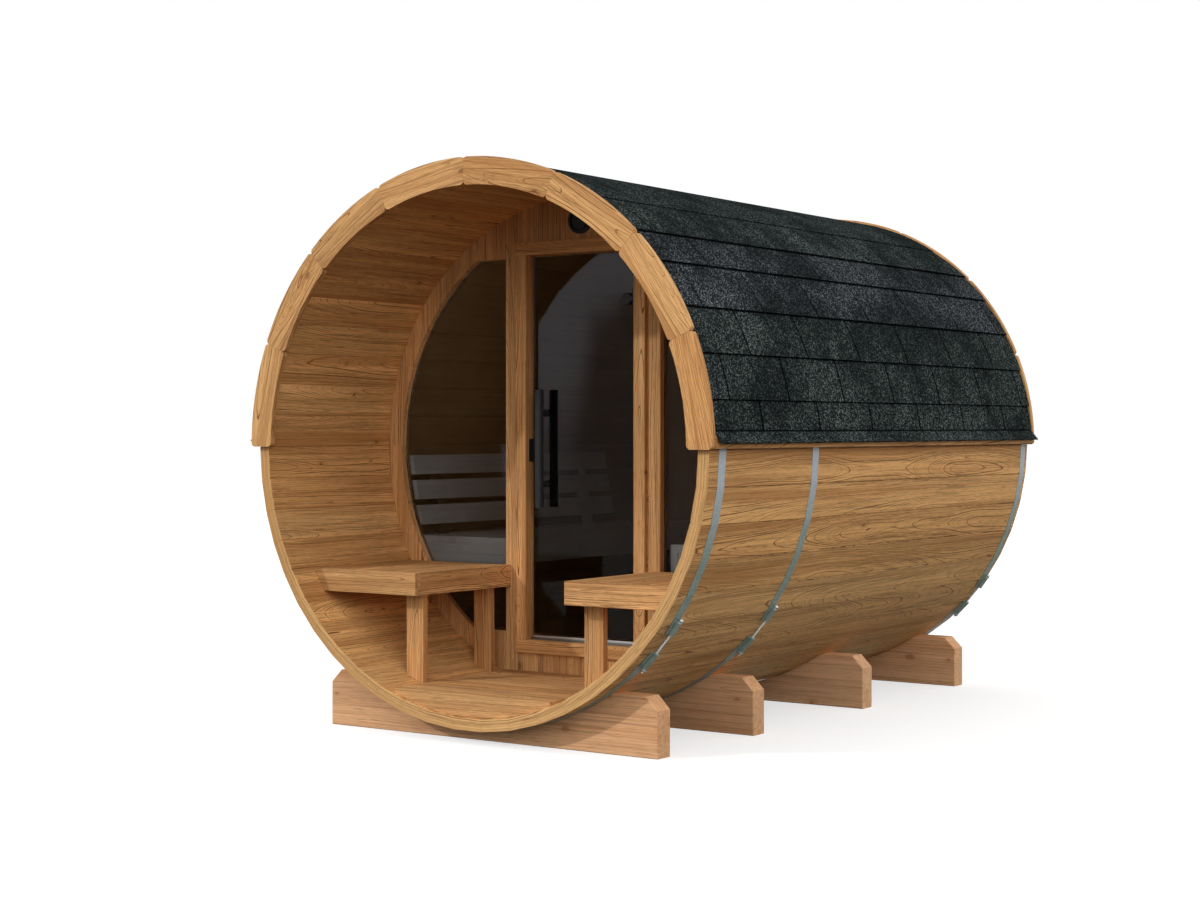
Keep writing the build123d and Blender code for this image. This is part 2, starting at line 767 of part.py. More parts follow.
# Closing board at the front of the deck, cut to the round of the staves
with BuildPart() as deck_front:
    board = barrel_slice(y_front + deck_front_setback, -deck_half_width, deck_half_width, 0, deck_top)
    extrude(board, amount=deck_front_board, dir=toward_rear)
deck_front.part.label = "deck_front"
export_step(deck_front.part, "parts/deck_front.step")

# Floors, their edges cut to the round of the barrel
with BuildPart() as porch_deck:
    for low_y, high_y in deck_spans(deck_start_y, wall_front_y - fit_gap):
        extrude(deck_face(low_y), amount=high_y - low_y, dir=toward_rear)
porch_deck.part.label = "porch_deck"
export_step(porch_deck.part, "parts/porch_deck.step")

with BuildPart() as cabin_floor:
    for low_y, high_y in deck_spans(wall_back_y + fit_gap, rear_wall_y - fit_gap):
        extrude(deck_face(low_y), amount=high_y - low_y, dir=toward_rear)
cabin_floor.part.label = "cabin_floor"
export_step(cabin_floor.part, "parts/cabin_floor.step")

# Porch benches: a seat inside a front and a side board, on two legs each
with BuildPart() as porch_seats:
    start_y = y_front + bench_front + bench_board + fit_gap
    for side in sides:
        near = bench_inner_edge + bench_board + fit_gap
        seat = side_slice(start_y, side, near, inside_radius, bench_top - bench_board, bench_top)
        extrude(seat, amount=wall_front_y - fit_gap - start_y, dir=toward_rear)
porch_seats.part.label = "porch_seats"
export_step(porch_seats.part, "parts/porch_seats.step")

with BuildPart() as porch_aprons:
    start_y = y_front + bench_front
    back_y = start_y + bench_board + fit_gap
    bottom = bench_top - bench_height
    for side in sides:
        front = side_slice(start_y, side, bench_inner_edge, inside_radius, bottom, bench_top)
        extrude(front, amount=bench_board, dir=toward_rear)
    chamfer(front_lines(porch_aprons), length=board_arris)
    for side in sides:
        inner = side_slice(back_y, side, bench_inner_edge, bench_inner_edge + bench_board, bottom, bench_top)
        extrude(inner, amount=wall_front_y - fit_gap - back_y, dir=toward_rear)
porch_aprons.part.label = "porch_aprons"
export_step(porch_aprons.part, "parts/porch_aprons.step")

with BuildPart() as porch_legs:
    near = bench_inner_edge + bench_board + fit_gap
    for side in sides:
        for leg_y in (
            y_front + bench_front + leg_front_setback,
            wall_front_y - leg_wall_setback - leg_thickness,
        ):
            leg = side_slice(leg_y, side, near, near + leg_width, 0, bench_top - bench_board)
            extrude(leg, amount=leg_thickness, dir=toward_rear)
    chamfer(porch_legs.edges().filter_by(Axis.Z), length=board_arris)
porch_legs.part.label = "porch_legs"
export_step(porch_legs.part, "parts/porch_legs.step")

# Cabin benches between the two walls, with a front board each
with BuildPart() as cabin_seats:
    for side in sides:
        near = seat_inner_edge + seat_board + fit_gap
        seat = side_slice(seat_y + fit_gap, side, near, inside_radius, seat_top - seat_board, seat_top)
        extrude(seat, amount=seat_length - 2 * fit_gap, dir=toward_rear)
cabin_seats.part.label = "cabin_seats"
export_step(cabin_seats.part, "parts/cabin_seats.step")

with BuildPart() as cabin_aprons:
    for side in sides:
        far = seat_inner_edge + seat_board
        board = side_slice(seat_y + fit_gap, side, seat_inner_edge, far, seat_top - seat_height, seat_top)
        extrude(board, amount=seat_length - 2 * fit_gap, dir=toward_rear)
cabin_aprons.part.label = "cabin_aprons"
export_step(cabin_aprons.part, "parts/cabin_aprons.step")

# Leaning back rest: slats on uprights that stand on the left bench
with BuildPart() as cabin_backrest:
    start_y = seat_y + rest_end_gap
    rest_top = seat_top + rest_lift + rest_slat_count * (rest_slat_height + rest_slat_gap) - rest_slat_gap
    for number in range(rest_slat_count):
        low = seat_top + rest_lift + number * (rest_slat_height + rest_slat_gap)
        slat = rest_face(start_y, low, low + rest_slat_height, 0, rest_slat_thickness)
        extrude(slat, amount=rest_length, dir=toward_rear)
    for upright_y in (
        start_y + rest_upright_inset,
        start_y + rest_length - rest_upright_inset - rest_upright_width,
    ):
        back = rest_slat_thickness + rest_upright_depth
        upright = rest_face(upright_y, seat_top, rest_top, rest_slat_thickness, back)
        extrude(upright, amount=rest_upright_width, dir=toward_rear)
cabin_backrest.part.label = "cabin_backrest"
export_step(cabin_backrest.part, "parts/cabin_backrest.step")

# Hinge plates on the right jamb: lugs above and below the leaf's knuckle, and a pin between
with BuildPart() as hinge_plates:
    plate_low = hinge_y + hinge_plate_lead - hinge_plate_depth
    plate_high = hinge_y + hinge_plate_lead
    plate_x = opening_half_width - hinge_plate_thickness
    for height in hinge_heights:
        base = Plane(origin=(0, 0, height - hinge_plate_height / 2))
        plate = block_face(base, plate_x, opening_half_width, plate_low, plate_high)
        extrude(plate, amount=hinge_plate_height, dir=upward)
        knuckle_run = (hinge_plate_height - knuckle_height) / 2 - knuckle_gap
        for foot in (height - hinge_plate_height / 2, height + knuckle_height / 2 + knuckle_gap):
            level = Plane(origin=(0, 0, foot))
            near, far = hinge_y - knuckle_radius, hinge_y + knuckle_radius
            lug = block_face(level, hinge_x - knuckle_radius, plate_x, near, far)
            extrude(lug, amount=knuckle_run, dir=upward)
        pin_base = Plane(origin=(0, 0, height - knuckle_height / 2 - knuckle_gap))
        pin_run = knuckle_height + 2 * knuckle_gap
        extrude(round_face(pin_base, hinge_x, hinge_y, pin_radius), amount=pin_run, dir=upward)
hinge_plates.part.label = "hinge_plates"
export_step(hinge_plates.part, "parts/hinge_plates.step")

# Catch plate on the left jamb
with BuildPart() as door_catch:
    level = Plane(origin=(0, 0, axis_height - catch_drop - catch_height / 2))
    plate_high = glass_y + catch_back
    plate = block_face(
        level, -opening_half_width, catch_thickness - opening_half_width, plate_high - catch_depth, plate_high
    )
    extrude(plate, amount=catch_height, dir=upward)
door_catch.part.label = "door_catch"
export_step(door_catch.part, "parts/door_catch.step")

# Glass leaf with holes for its clamps and its handle
with BuildPart() as door_glass:
    leaf_plane = cross_plane(glass_y)
    leaf = block_face(leaf_plane, -leaf_half_width, leaf_half_width, leaf_bottom, leaf_top)
    extrude(leaf, amount=glass_thickness, dir=toward_rear)
    for height in hinge_heights:
        hole = round_face(leaf_plane, clamp_x, height, clamp_bolt_radius + fit_gap, post_side_count)
        extrude(hole, amount=glass_thickness, dir=toward_rear, mode=Mode.SUBTRACT)
    for height in handle_posts:
        hole = round_face(leaf_plane, handle_x, height, handle_post_radius + fit_gap, post_side_count)
        extrude(hole, amount=glass_thickness, dir=toward_rear, mode=Mode.SUBTRACT)
door_glass.part.label = "door_glass"
export_step(door_glass.part, "parts/door_glass.step")

# Round clamps on both faces of the leaf, with an arm to the hinge pin
with BuildPart() as door_clamps:
    front_y = glass_y - fit_gap - clamp_thickness
    back_y = glass_y + glass_thickness + fit_gap
    for height in hinge_heights:
        for disc_y in (front_y, back_y):
            disc = round_face(cross_plane(disc_y), clamp_x, height, clamp_radius, clamp_side_count)
            extrude(disc, amount=clamp_thickness, dir=toward_rear)
        bolt = round_face(cross_plane(front_y), clamp_x, height, clamp_bolt_radius, post_side_count)
        extrude(bolt, amount=back_y - front_y + clamp_thickness, dir=toward_rear)
        arm_plane = Plane(origin=(0, 0, height - clamp_arm_height / 2))
        arm = block_face(arm_plane, clamp_x, hinge_x, front_y, front_y + clamp_arm_depth)
        extrude(arm, amount=clamp_arm_height, dir=upward)
        foot = Plane(origin=(0, 0, height - knuckle_height / 2))
        extrude(round_face(foot, hinge_x, hinge_y, knuckle_radius), amount=knuckle_height, dir=upward)
        bore = round_face(foot, hinge_x, hinge_y, pin_radius + pin_clearance)
        extrude(bore, amount=knuckle_height, dir=upward, mode=Mode.SUBTRACT)
door_clamps.part.label = "door_clamps"
export_step(door_clamps.part, "parts/door_clamps.step")

# Pull handle: a round bar on each face, joined by posts through the glass
with BuildPart() as door_handle:
    bar_low = axis_height - handle_drop
    bar_length = handle_rise + handle_drop
    bar_ys = (glass_y - handle_standoff, glass_y + glass_thickness + handle_standoff)
    level = Plane(origin=(0, 0, bar_low))
    for bar_y in bar_ys:
        extrude(round_face(level, handle_x, bar_y, handle_radius), amount=bar_length, dir=upward)
    post_run = glass_thickness + 2 * handle_standoff
    for height in handle_posts:
        post_plane = cross_plane(glass_y - handle_standoff)
        post = round_face(post_plane, handle_x, height, handle_post_radius, post_side_count)
        extrude(post, amount=post_run, dir=toward_rear)
door_handle.part.label = "door_handle"
export_step(door_handle.part, "parts/door_handle.step")
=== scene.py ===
# %% [markdown]
# # A barrel sauna, dressed in Blender
# The solids come from the CAD source in one shared frame: metres, +X to the right seen from
# the porch, +Y from the porch to the rear wall, +Z up. This file gives every solid its finish
# and adds what the solids leave out: the shingle tabs on the roof, the threads and washers of
# the hoop bolts, and the end boards of the cabin benches. The loaded solids are never moved.

# %% Load the solids
import math

import bmesh
import bpy
from mathutils import Euler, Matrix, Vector


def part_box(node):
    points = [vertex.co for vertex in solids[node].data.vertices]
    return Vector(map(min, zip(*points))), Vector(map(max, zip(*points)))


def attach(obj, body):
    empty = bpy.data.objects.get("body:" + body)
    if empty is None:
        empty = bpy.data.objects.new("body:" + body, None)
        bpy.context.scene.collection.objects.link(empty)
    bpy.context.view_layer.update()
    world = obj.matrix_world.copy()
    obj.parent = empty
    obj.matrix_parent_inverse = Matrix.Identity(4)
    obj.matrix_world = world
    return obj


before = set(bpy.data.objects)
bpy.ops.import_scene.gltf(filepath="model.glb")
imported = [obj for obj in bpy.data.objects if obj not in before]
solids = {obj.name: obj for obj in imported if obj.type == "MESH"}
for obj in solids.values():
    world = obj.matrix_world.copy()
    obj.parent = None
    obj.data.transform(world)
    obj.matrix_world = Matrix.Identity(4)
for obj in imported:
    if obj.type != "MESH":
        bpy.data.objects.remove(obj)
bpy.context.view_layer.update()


def rounded(values):
    """Numbers to the millimetre, for printing."""
    return [round(v, 3) for v in values]


# %% [markdown]
# ## Measures that the finishes share
# Wood is drawn as boards cut from a log, so each finish has to know which board a point is in.
# The staves and the trim are told apart by their angle around the barrel's axis, the other
# boards by a plain distance. These are the real sizes of the pieces, in metres.

# %% Measures
axis_height = 1.000186
front_rim, rear_rim = -1.25, 1.25
sawn_face = rear_rim - 0.0004
wall_front, cabin_end, cabin_reach = front_rim + 0.667, 1.158, 0.918
stave_turn, stave_middle = math.radians(7.2), 0.933
trim_turn, trim_middle, trim_depth = math.radians(22.5), 0.931, 1.261
roof_radius = 0.957986
print("stave width", round(stave_turn * stave_middle, 4), "m")

# %% [markdown]
# ## A helper for wiring nodes
# A finish is a formula in x, y and z. Written with plain calls, such formulas fill pages, so
# this small class adds a node, feeds its sockets with a value or a wire, and hands back the
# result. It serves shader trees and Geometry Nodes trees alike.

# %% Wiring helper
class Wires:
    """Adds nodes to a tree and joins them, so that a formula reads as one."""

    def __init__(self, tree):
        self.tree = tree

    def feed(self, socket, value):
        if isinstance(value, bpy.types.NodeSocket):
            self.tree.links.new(value, socket)
        elif value is not None:
            socket.default_value = value

    def new(self, kind, sockets=None, **choices):
        """A node with its choices made and its named sockets fed."""
        node = self.tree.nodes.new(kind)
        for choice, value in choices.items():
            setattr(node, choice, value)
        for name, value in (sockets or {}).items():
            self.feed(node.inputs[name], value)
        return node

    def row(self, kind, values, **choices):
        """The results of a node whose sockets are fed in their order."""
        node = self.new(kind, **choices)
        for socket, value in zip(node.inputs, values):
            self.feed(socket, value)
        return node.outputs

    def math(self, operation, *values, clamp=False):
        return self.row("ShaderNodeMath", values, operation=operation, use_clamp=clamp)[0]

    def add(self, total, *others):
        for other in others:
            total = self.math("ADD", total, other)
        return total

    def mul(self, product, *others):
        for other in others:
            product = self.math("MULTIPLY", product, other)
        return product

    def sub(self, a, b):
        return self.math("SUBTRACT", a, b)

    def over(self, a, b):
        return self.math("DIVIDE", a, b)

    def most(self, a, b):
        return self.math("MAXIMUM", a, b)

    def least(self, a, b):
        return self.math("MINIMUM", a, b)

    def size(self, value):
        """The value without its sign."""
        return self.math("ABSOLUTE", value)

    def length(self, a, b):
        return self.math("SQRT", self.add(self.mul(a, a), self.mul(b, b)))

    def above(self, value, edge):
        """1 where the value is over the edge, and 0 elsewhere."""
        return self.math("GREATER_THAN", value, edge)

    def below(self, value, edge):
        """1 where the value is under the edge, and 0 elsewhere."""
        return self.math("LESS_THAN", value, edge)

    def choose(self, test, yes, no):
        """One value where the test is 1, the other where it is 0."""
        return self.add(self.mul(test, yes), self.mul(self.sub(1.0, test), no))

    def step(self, value, low, high, start=0.0, end=1.0):
        """Smooth change from start to end while value goes from low to high."""
        given = (value, low, high, start, end)
        return self.row("ShaderNodeMapRange", given, interpolation_type="SMOOTHSTEP")[0]

    def xyz(self, x, y, z):
        return self.row("ShaderNodeCombineXYZ", (x, y, z))[0]

    def split(self, vector):
        return tuple(self.row("ShaderNodeSeparateXYZ", (vector,)))

    def boards(self, value, start, pitch):
        """Equal boards side by side: how many boards a point is from the start, the number of
        its board, and its distance from that board's middle."""
        count = self.over(self.sub(value, start), pitch)
        number = self.math("FLOOR", count)
        return count, number, self.mul(self.sub(self.sub(count, number), 0.5), pitch)

    def noise(self, vector, scale=1.0, detail=2.0, rough=0.5):
        sockets = {"Vector": vector, "Scale": scale, "Detail": detail, "Roughness": rough}
        return self.new("ShaderNodeTexNoise", sockets, noise_dimensions="3D").outputs[0]

    def line_noise(self, along):
        sockets = {"W": along, "Scale": 1.0, "Detail": 1.0}
        return self.new("ShaderNodeTexNoise", sockets, noise_dimensions="1D").outputs[0]

    def dice(self, seed):
        """Three fixed random numbers from 0 to 1 for a seed."""
        node = self.new("ShaderNodeTexWhiteNoise", {"W": seed}, noise_dimensions="1D")
        return self.split(node.outputs["Color"])

    def grains(self, vector, scale):
        """Three fixed random numbers from 0 to 1 for each grain or crystal of a material."""
        sockets = {"Vector": vector, "Scale": scale}
        node = self.new("ShaderNodeTexVoronoi", sockets, voronoi_dimensions="3D", feature="F1")
        return self.split(node.outputs["Color"])

    def attribute(self, name):
        return self.new("ShaderNodeAttribute", attribute_name=name).outputs["Fac"]

    def mix(self, share, first, second, blend="MIX"):
        node = self.new("ShaderNodeMix", data_type="RGBA", blend_type=blend)
        for place, value in ((0, share), (6, first), (7, second)):
            self.feed(node.inputs[place], value)
        return node.outputs[2]


print("wiring helper ready")

# %% Finish helpers
def new_finish(name):
    """An empty material with its wires and its surface shader."""
    finish = bpy.data.materials.new(name)
    finish.use_nodes = True
    finish.node_tree.nodes.clear()
    wires = Wires(finish.node_tree)
    shader = wires.new("ShaderNodeBsdfPrincipled")
    wires.new("ShaderNodeOutputMaterial", {"Surface": shader.outputs[0]})
    return finish, wires, shader


def place_in(wires):
    """The place of a point in its object, in metres, as one vector."""
    return wires.new("ShaderNodeTexCoord").outputs["Object"]


def coloured(wires, shader, colour, rough):
    """Feeds a surface its colour and its roughness."""
    wires.feed(shader.inputs["Base Color"], colour)
    wires.feed(shader.inputs["Roughness"], rough)


def bumped(wires, shader, height, depth, strength):
    """Small relief from a height between 0 and 1."""
    sockets = {"Strength": strength, "Distance": depth, "Height": height}
    wires.feed(shader.inputs["Normal"], wires.new("ShaderNodeBump", sockets).outputs[0])


def add_inputs(tree, kinds):
    """Gives a node tree its named inputs, sorted by kind, and returns their identifiers."""
    ids = {}
    for kind, inputs in kinds.items():
        for name, value in inputs.items():
            socket = tree.interface.new_socket(
                name, in_out="INPUT", socket_type="NodeSocket" + kind)
            if value is not None:
                socket.default_value = value
            ids[name] = socket.identifier
    return ids


print("finish helpers ready")

# %% [markdown]
# ## Timber
# A board shows the yearly rings of its log: pale early wood that ends in a thin dark line.
# Where the saw runs nearly along the rings they open into tall pointed arches, and around a
# knot they bend aside. A striped texture can't do that, so one node group cuts the board out
# of a log for real: rings around a heart that wanders along the board, bent by slow noise and
# by knots, with fine fibres and broad ruddy bands. Every board has its own seed. A flat cut
# spreads a ring over the face, so the dark line's share of its ring follows the ring's slope.

# %% Timber: a board and its knots
class Board:
    """A point in its board, the board's six random numbers, and noise along its grain."""

    def __init__(self, w, given):
        self.w, self.given = w, given
        self.across, self.through, self.along = w.split(given["Place"])
        self.dice = (*w.dice(given["Board"]), *w.dice(w.add(given["Board"], 17.31)))
        self.shift = w.mul(self.dice[3], 40.0)

    def streaks(self, cross, length, detail):
        """Noise with so many spots per metre across the grain and along it."""
        w = self.w
        sideways = w.add(w.mul(self.across, cross), self.shift)
        place = w.xyz(sideways, w.mul(self.through, cross), w.mul(self.along, length))
        return w.noise(place, detail=detail)


# Knots sit in loose cells of 0.11 by 0.40 m on the board's face
cells_across, cells_along, knot_stretch = 9.0, 2.5, 0.55
least_knot, knot_growth = 0.003, 0.008


def knots_of(board):
    """1 where the nearest cell has a knot, and the distance to it in knot sizes."""
    w, given = board.w, board.given
    cell_x = w.add(w.mul(board.across, cells_across), w.mul(board.dice[4], 31.0))
    cell_y = w.add(w.mul(board.along, cells_along), w.mul(board.dice[5], 57.0))
    sockets = {"Vector": w.xyz(cell_x, cell_y, 0.0), "Scale": 1.0, "Randomness": 0.85}
    spots = w.new("ShaderNodeTexVoronoi", sockets, voronoi_dimensions="2D", feature="F1").outputs
    spot_x, spot_y, _ = w.split(spots["Position"])
    chance, growth, _ = w.split(spots["Color"])
    grown = w.add(least_knot, w.mul(w.mul(growth, growth), knot_growth))
    off_across = w.mul(w.sub(cell_x, spot_x), 1 / cells_across)
    off_along = w.mul(w.sub(cell_y, spot_y), knot_stretch / cells_along)
    away = w.over(w.length(off_across, off_along), w.mul(given["Knot size"], grown))
    return w.below(chance, given["Knots"]), away


print("knots in cells of", rounded((1 / cells_across, 1 / cells_along)), "m")

# %% Timber: the rings
line_width, least_line, most_line = 0.0019, 0.10, 0.36


def rings_of(board, swell):
    """How dark the late wood of the rings is, from 0 to 1."""
    w, given, along = board.w, board.given, board.along
    r1, r2, r3, _, _, r6 = board.dice
    # The log's heart lies under the board and wanders along it
    sway = w.line_noise(w.add(w.mul(along, 0.8), board.shift))
    dip = w.line_noise(w.add(w.mul(along, 1.1), w.mul(r2, 90.0)))
    heart_x = w.add(w.mul(w.sub(r1, 0.5), 0.15), w.mul(w.sub(sway, 0.5), 0.05))
    lean = w.mul(along, w.mul(w.sub(r3, 0.5), 0.07))
    heart_y = w.add(w.sub(-0.03, w.mul(r2, 0.09)), w.add(w.mul(w.sub(dip, 0.5), 0.035), lean))
    dx, dy = w.sub(board.across, heart_x), w.sub(board.through, heart_y)
    plain_span = w.length(dx, dy)
    # Slow and quick waves and the knots bend the rings, and years differ in width
    slow, quick = board.streaks(13.0, 0.9, 2.0), board.streaks(60.0, 7.0, 2.0)
    bend = w.add(w.mul(w.sub(slow, 0.5), 0.005), w.mul(w.sub(quick, 0.5), 0.0011))
    span = w.add(plain_span, bend, w.mul(swell, 0.006))
    years = w.add(w.over(span, given["Ring width"]), w.mul(r6, 20.0))
    years = w.add(years, w.mul(w.sub(w.line_noise(w.mul(years, 0.45)), 0.5), 1.6))
    part = w.math("FRACT", years)
    # The dark line at the end of a ring, strong in some years and faint in others
    slope = w.over(w.size(dx), plain_span)
    line = w.over(w.mul(slope, line_width), given["Ring width"])
    line = w.least(w.most(line, least_line), most_line)
    rise = w.step(part, w.sub(1.0, w.mul(line, 1.7)), w.sub(1.0, w.mul(line, 0.5)))
    late = w.mul(rise, w.step(part, w.sub(1.0, w.mul(line, 0.3)), 1.0, 1.0, 0.0))
    strong = w.step(w.line_noise(w.add(w.mul(years, 0.8), 40.0)), 0.40, 0.62, 0.10, 1.0)
    return w.mul(late, strong)


print("dark line of a ring", line_width, "m on the face")

# %% Timber: the colour
def tone_of(board, late, swell):
    """The colour of the wood without its knots, and its finest fibres."""
    w, given = board.w, board.given
    pale, dark = given["Pale"], given["Dark"]
    fibre, grit = board.streaks(380.0, 8.0, 2.0), board.streaks(260.0, 26.0, 1.0)
    streak, pores = board.streaks(70.0, 1.4, 3.0), board.streaks(170.0, 3.0, 1.0)
    checks = board.streaks(230.0, 11.0, 1.0)
    fibres = w.add(
        w.mul(w.step(streak, 0.42, 0.68), 0.26), w.mul(w.step(pores, 0.54, 0.68), 0.26),
        w.mul(w.step(checks, 0.64, 0.72), 0.34), w.mul(w.sub(fibre, 0.5), 0.36),
        w.mul(w.sub(grit, 0.45), 0.52),
    )
    darkness = w.add(w.mul(late, given["Contrast"]), w.mul(fibres, given["Fibres"]), 0.02)
    colour = w.mix(w.math("ADD", darkness, w.mul(swell, 0.16), clamp=True), pale, dark)
    # Broad ruddy bands, then slow changes of tone, and each board a little lighter or darker
    band, tone = board.streaks(22.0, 0.5, 3.0), board.streaks(6.0, 1.1, 2.0)
    ruddy = w.mix(1.0, w.mix(0.62, pale, dark), (1.0, 0.86, 0.72, 1), "MULTIPLY")
    colour = w.mix(w.mul(w.step(band, 0.46, 0.70), given["Bands"]), colour, ruddy)
    level = w.add(0.955, w.mul(board.dice[2], 0.16), w.mul(w.sub(tone, 0.5), 0.5))
    colour = w.mix(1.0, colour, w.xyz(level, level, level), "MULTIPLY")
    warmth = w.size(w.mul(w.sub(board.dice[4], 0.5), 0.5))
    return w.mix(warmth, colour, dark, "SOFT_LIGHT"), fibre


def make_timber():
    tree = bpy.data.node_groups.new("timber", "ShaderNodeTree")
    add_inputs(tree, {
        "Vector": {"Place": None},
        "Color": {"Pale": (0.6, 0.34, 0.15, 1), "Dark": (0.3, 0.13, 0.04, 1),
                  "Knot shade": (0.42, 0.36, 0.32, 1)},
        "Float": {"Board": 0.0, "Ring width": 0.0018, "Contrast": 0.8, "Knots": 0.4,
                  "Knot size": 1.0, "Fibres": 1.0, "Bands": 0.5},
    })
    for name, kind in (("Colour", "Color"), ("Height", "Float"), ("Fibre", "Float")):
        tree.interface.new_socket(name, in_out="OUTPUT", socket_type="NodeSocket" + kind)
    w = Wires(tree)
    given = w.new("NodeGroupInput").outputs
    board = Board(w, given)
    has_knot, away = knots_of(board)
    swell = w.mul(has_knot, w.step(away, 0.0, 4.5, 1.0, 0.0))
    late = rings_of(board, swell)
    colour, fibre = tone_of(board, late, swell)
    core = w.mul(has_knot, w.step(away, 0.55, 1.25, 1.0, 0.0))
    knot_rings = w.step(w.math("FRACT", w.mul(away, 2.2)), 0.3, 1.0, 0.35, 0.8)
    knot_tone = w.mix(1.0, given["Dark"], given["Knot shade"], "MULTIPLY")
    w.new("NodeGroupOutput", {
        "Colour": w.mix(w.mul(core, knot_rings), colour, knot_tone),
        "Height": w.add(w.mul(fibre, 0.5), w.mul(w.sub(1.0, late), 0.5)),
        "Fibre": fibre,
    })
    return tree


timber = make_timber()
print("timber group", len(timber.nodes), "nodes")

# %% [markdown]
# ## Wood finishes
# Each wooden piece needs its own answer to three questions: how far is this point across its
# board, how far through it, and how far along it. For a stave that is the distance from the
# stave's middle around the barrel, for a trim board the straight plank that it was sawn from,
# for a wall board plain x and z. The answer and a board number go into the timber group. The
# faces that look into the cabin are sanded smooth, so their grain is calmer, and the sawn rim
# of the barrel shows its grain along the round.

# %% Wood finish maker
# One thermo wood on every piece: the stave, trim, porch and leg pales are lighter or darker copies
# of the warm pale, painted light that makes up for the light each piece gets
warm_pale, warm_dark = (0.775, 0.441, 0.188, 1), (0.19, 0.083, 0.027, 1)
porch_pale, leg_pale = (0.825, 0.472, 0.202, 1), (0.74, 0.420, 0.178, 1)
stave_pale, stave_dark = (0.91, 0.542, 0.224, 1), (0.225, 0.098, 0.031, 1)
trim_pale, trim_dark = (0.800, 0.458, 0.189, 1), (0.28, 0.122, 0.038, 1)
spruce_pale, spruce_dark = (0.885, 0.535, 0.300, 1), (0.44, 0.218, 0.104, 1)
aspen_pale, aspen_dark = (0.92, 0.87, 0.79, 1), (0.72, 0.65, 0.54, 1)
joint_dark, dark_stain = (0.055, 0.026, 0.010, 1), (0.36, 0.22, 0.12, 1)


def cabin_side(w, x, y, z):
    """1 on the faces of the staves and the rear wall that look into the cabin."""
    reach = w.length(x, w.sub(z, axis_height))
    return w.mul(w.below(reach, cabin_reach), w.above(y, wall_front), w.below(y, cabin_end))


def on_sawn_rim(w, y):
    """1 on the sawn ends of the staves, at both rims."""
    return w.above(w.size(y), sawn_face)


def wood(name, layout, pale=warm_pale, dark=warm_dark, ring=0.0018, contrast=1.2, knots=0.3,
         knot_shade=(0.42, 0.36, 0.32, 1), knot_size=1.0, fibres=1.0, bands=0.5,
         half_width=None, sanded=False, stained=None):
    """A timber finish whose layout gives (across, through, along, board number).

    With a half width, the last millimetres beside the board's joints darken, partly dirt and partly
    painted shade in the joint. Sanded boards have a calmer grain on the cabin's side. Where stained
    gives 1, the wood is as dark as the staves.
    """
    finish, w, shader = new_finish(name)
    x, y, z = w.split(place_in(w))
    across, through, along, board = layout(w, x, y, z)
    cut = w.new("ShaderNodeGroup", {
        "Place": w.xyz(across, through, along), "Board": board, "Pale": pale, "Dark": dark,
        "Ring width": ring, "Contrast": contrast, "Knots": knots, "Knot shade": knot_shade,
        "Knot size": knot_size, "Fibres": fibres, "Bands": bands,
    }, node_tree=timber).outputs
    colour = cut["Colour"]
    if half_width:
        # Painted shade in the joints, with some dirt: the last millimetres beside each joint
        # darken, more in some places than others
        wear_and_shade = w.line_noise(w.add(w.mul(along, 1.7), w.mul(board, 3.7)))
        edge = w.step(w.size(across), half_width - 0.0022, half_width - 0.0004)
        edge = w.mul(edge, w.step(wear_and_shade, 0.35, 0.65, 0.10, 0.40))
        colour = w.mix(edge, colour, joint_dark)
        colour = w.mix(w.mul(on_sawn_rim(w, y), 0.1), colour, w.mix(0.30, pale, dark))
    if sanded:
        smooth = w.mul(cabin_side(w, x, y, z), 0.75)
        colour = w.mix(smooth, colour, w.mix(0.36, pale, dark))
    if stained:
        colour = w.mix(stained(w, x, y, z), colour, dark_stain, "MULTIPLY")
    coloured(w, shader, colour, w.step(cut["Fibre"], 0.2, 0.8, 0.60, 0.76))
    shader.inputs["Specular IOR Level"].default_value = 0.12
    bumped(w, shader, cut["Height"], 0.0006, 0.5)
    return finish


print("wood finish maker ready")

# %% Layouts around the barrel
def stave_layout(w, x, y, z):
    up = w.sub(z, axis_height)
    turn, number, off = w.boards(w.math("ARCTAN2", up, x), 0.0, stave_turn)
    reach = w.length(x, up)
    across = w.mul(reach, w.math("SINE", off))
    through = w.sub(w.mul(reach, w.math("COSINE", off)), stave_middle)
    around = w.mul(turn, stave_turn * stave_middle)
    sawn = on_sawn_rim(w, y)
    board = w.add(w.choose(sawn, 0.0, number), 101.0)
    across, through = w.choose(sawn, through, across), w.choose(sawn, 0.0, through)
    return across, through, w.choose(sawn, around, y), board


def trim_layout(w, x, y, z):
    up = w.sub(z, axis_height)
    _, number, _ = w.boards(w.math("ARCTAN2", up, x), 0.0, trim_turn)
    middle = w.mul(w.add(number, 0.5), trim_turn)
    c, s = w.math("COSINE", middle), w.math("SINE", middle)
    outward = w.sub(w.add(w.mul(x, c), w.mul(up, s)), trim_middle)
    sideways = w.sub(w.mul(up, c), w.mul(x, s))
    board = w.add(number, w.mul(w.above(y, 0.0), 23.0), 203.0)
    return outward, w.sub(w.size(y), trim_depth), sideways, board


print("layouts for", round(math.tau / stave_turn), "staves and", round(math.pi / trim_turn),
      "trim boards at each end")

# %% Layouts of boards side by side
def upright_boards(start, pitch, seed, face=wall_front, cut=True):
    """Upright boards side by side from a start, counted away from the middle on both sides.

    A board over the middle is one board. Cut boards end at a window, so their upper and lower
    pieces differ.
    """
    def layout(w, x, y, z):
        count, number, off = w.boards(w.size(x), start, pitch)
        middle = w.below(count, 0.0)
        side = w.mul(w.math("SIGN", x), w.sub(1.0, middle))
        board = w.add(w.mul(number, 2.0), w.mul(side, 40.0), seed)
        if cut:
            board = w.add(board, w.above(z, axis_height))
        return w.choose(middle, x, off), w.sub(y, face), z, board
    return layout


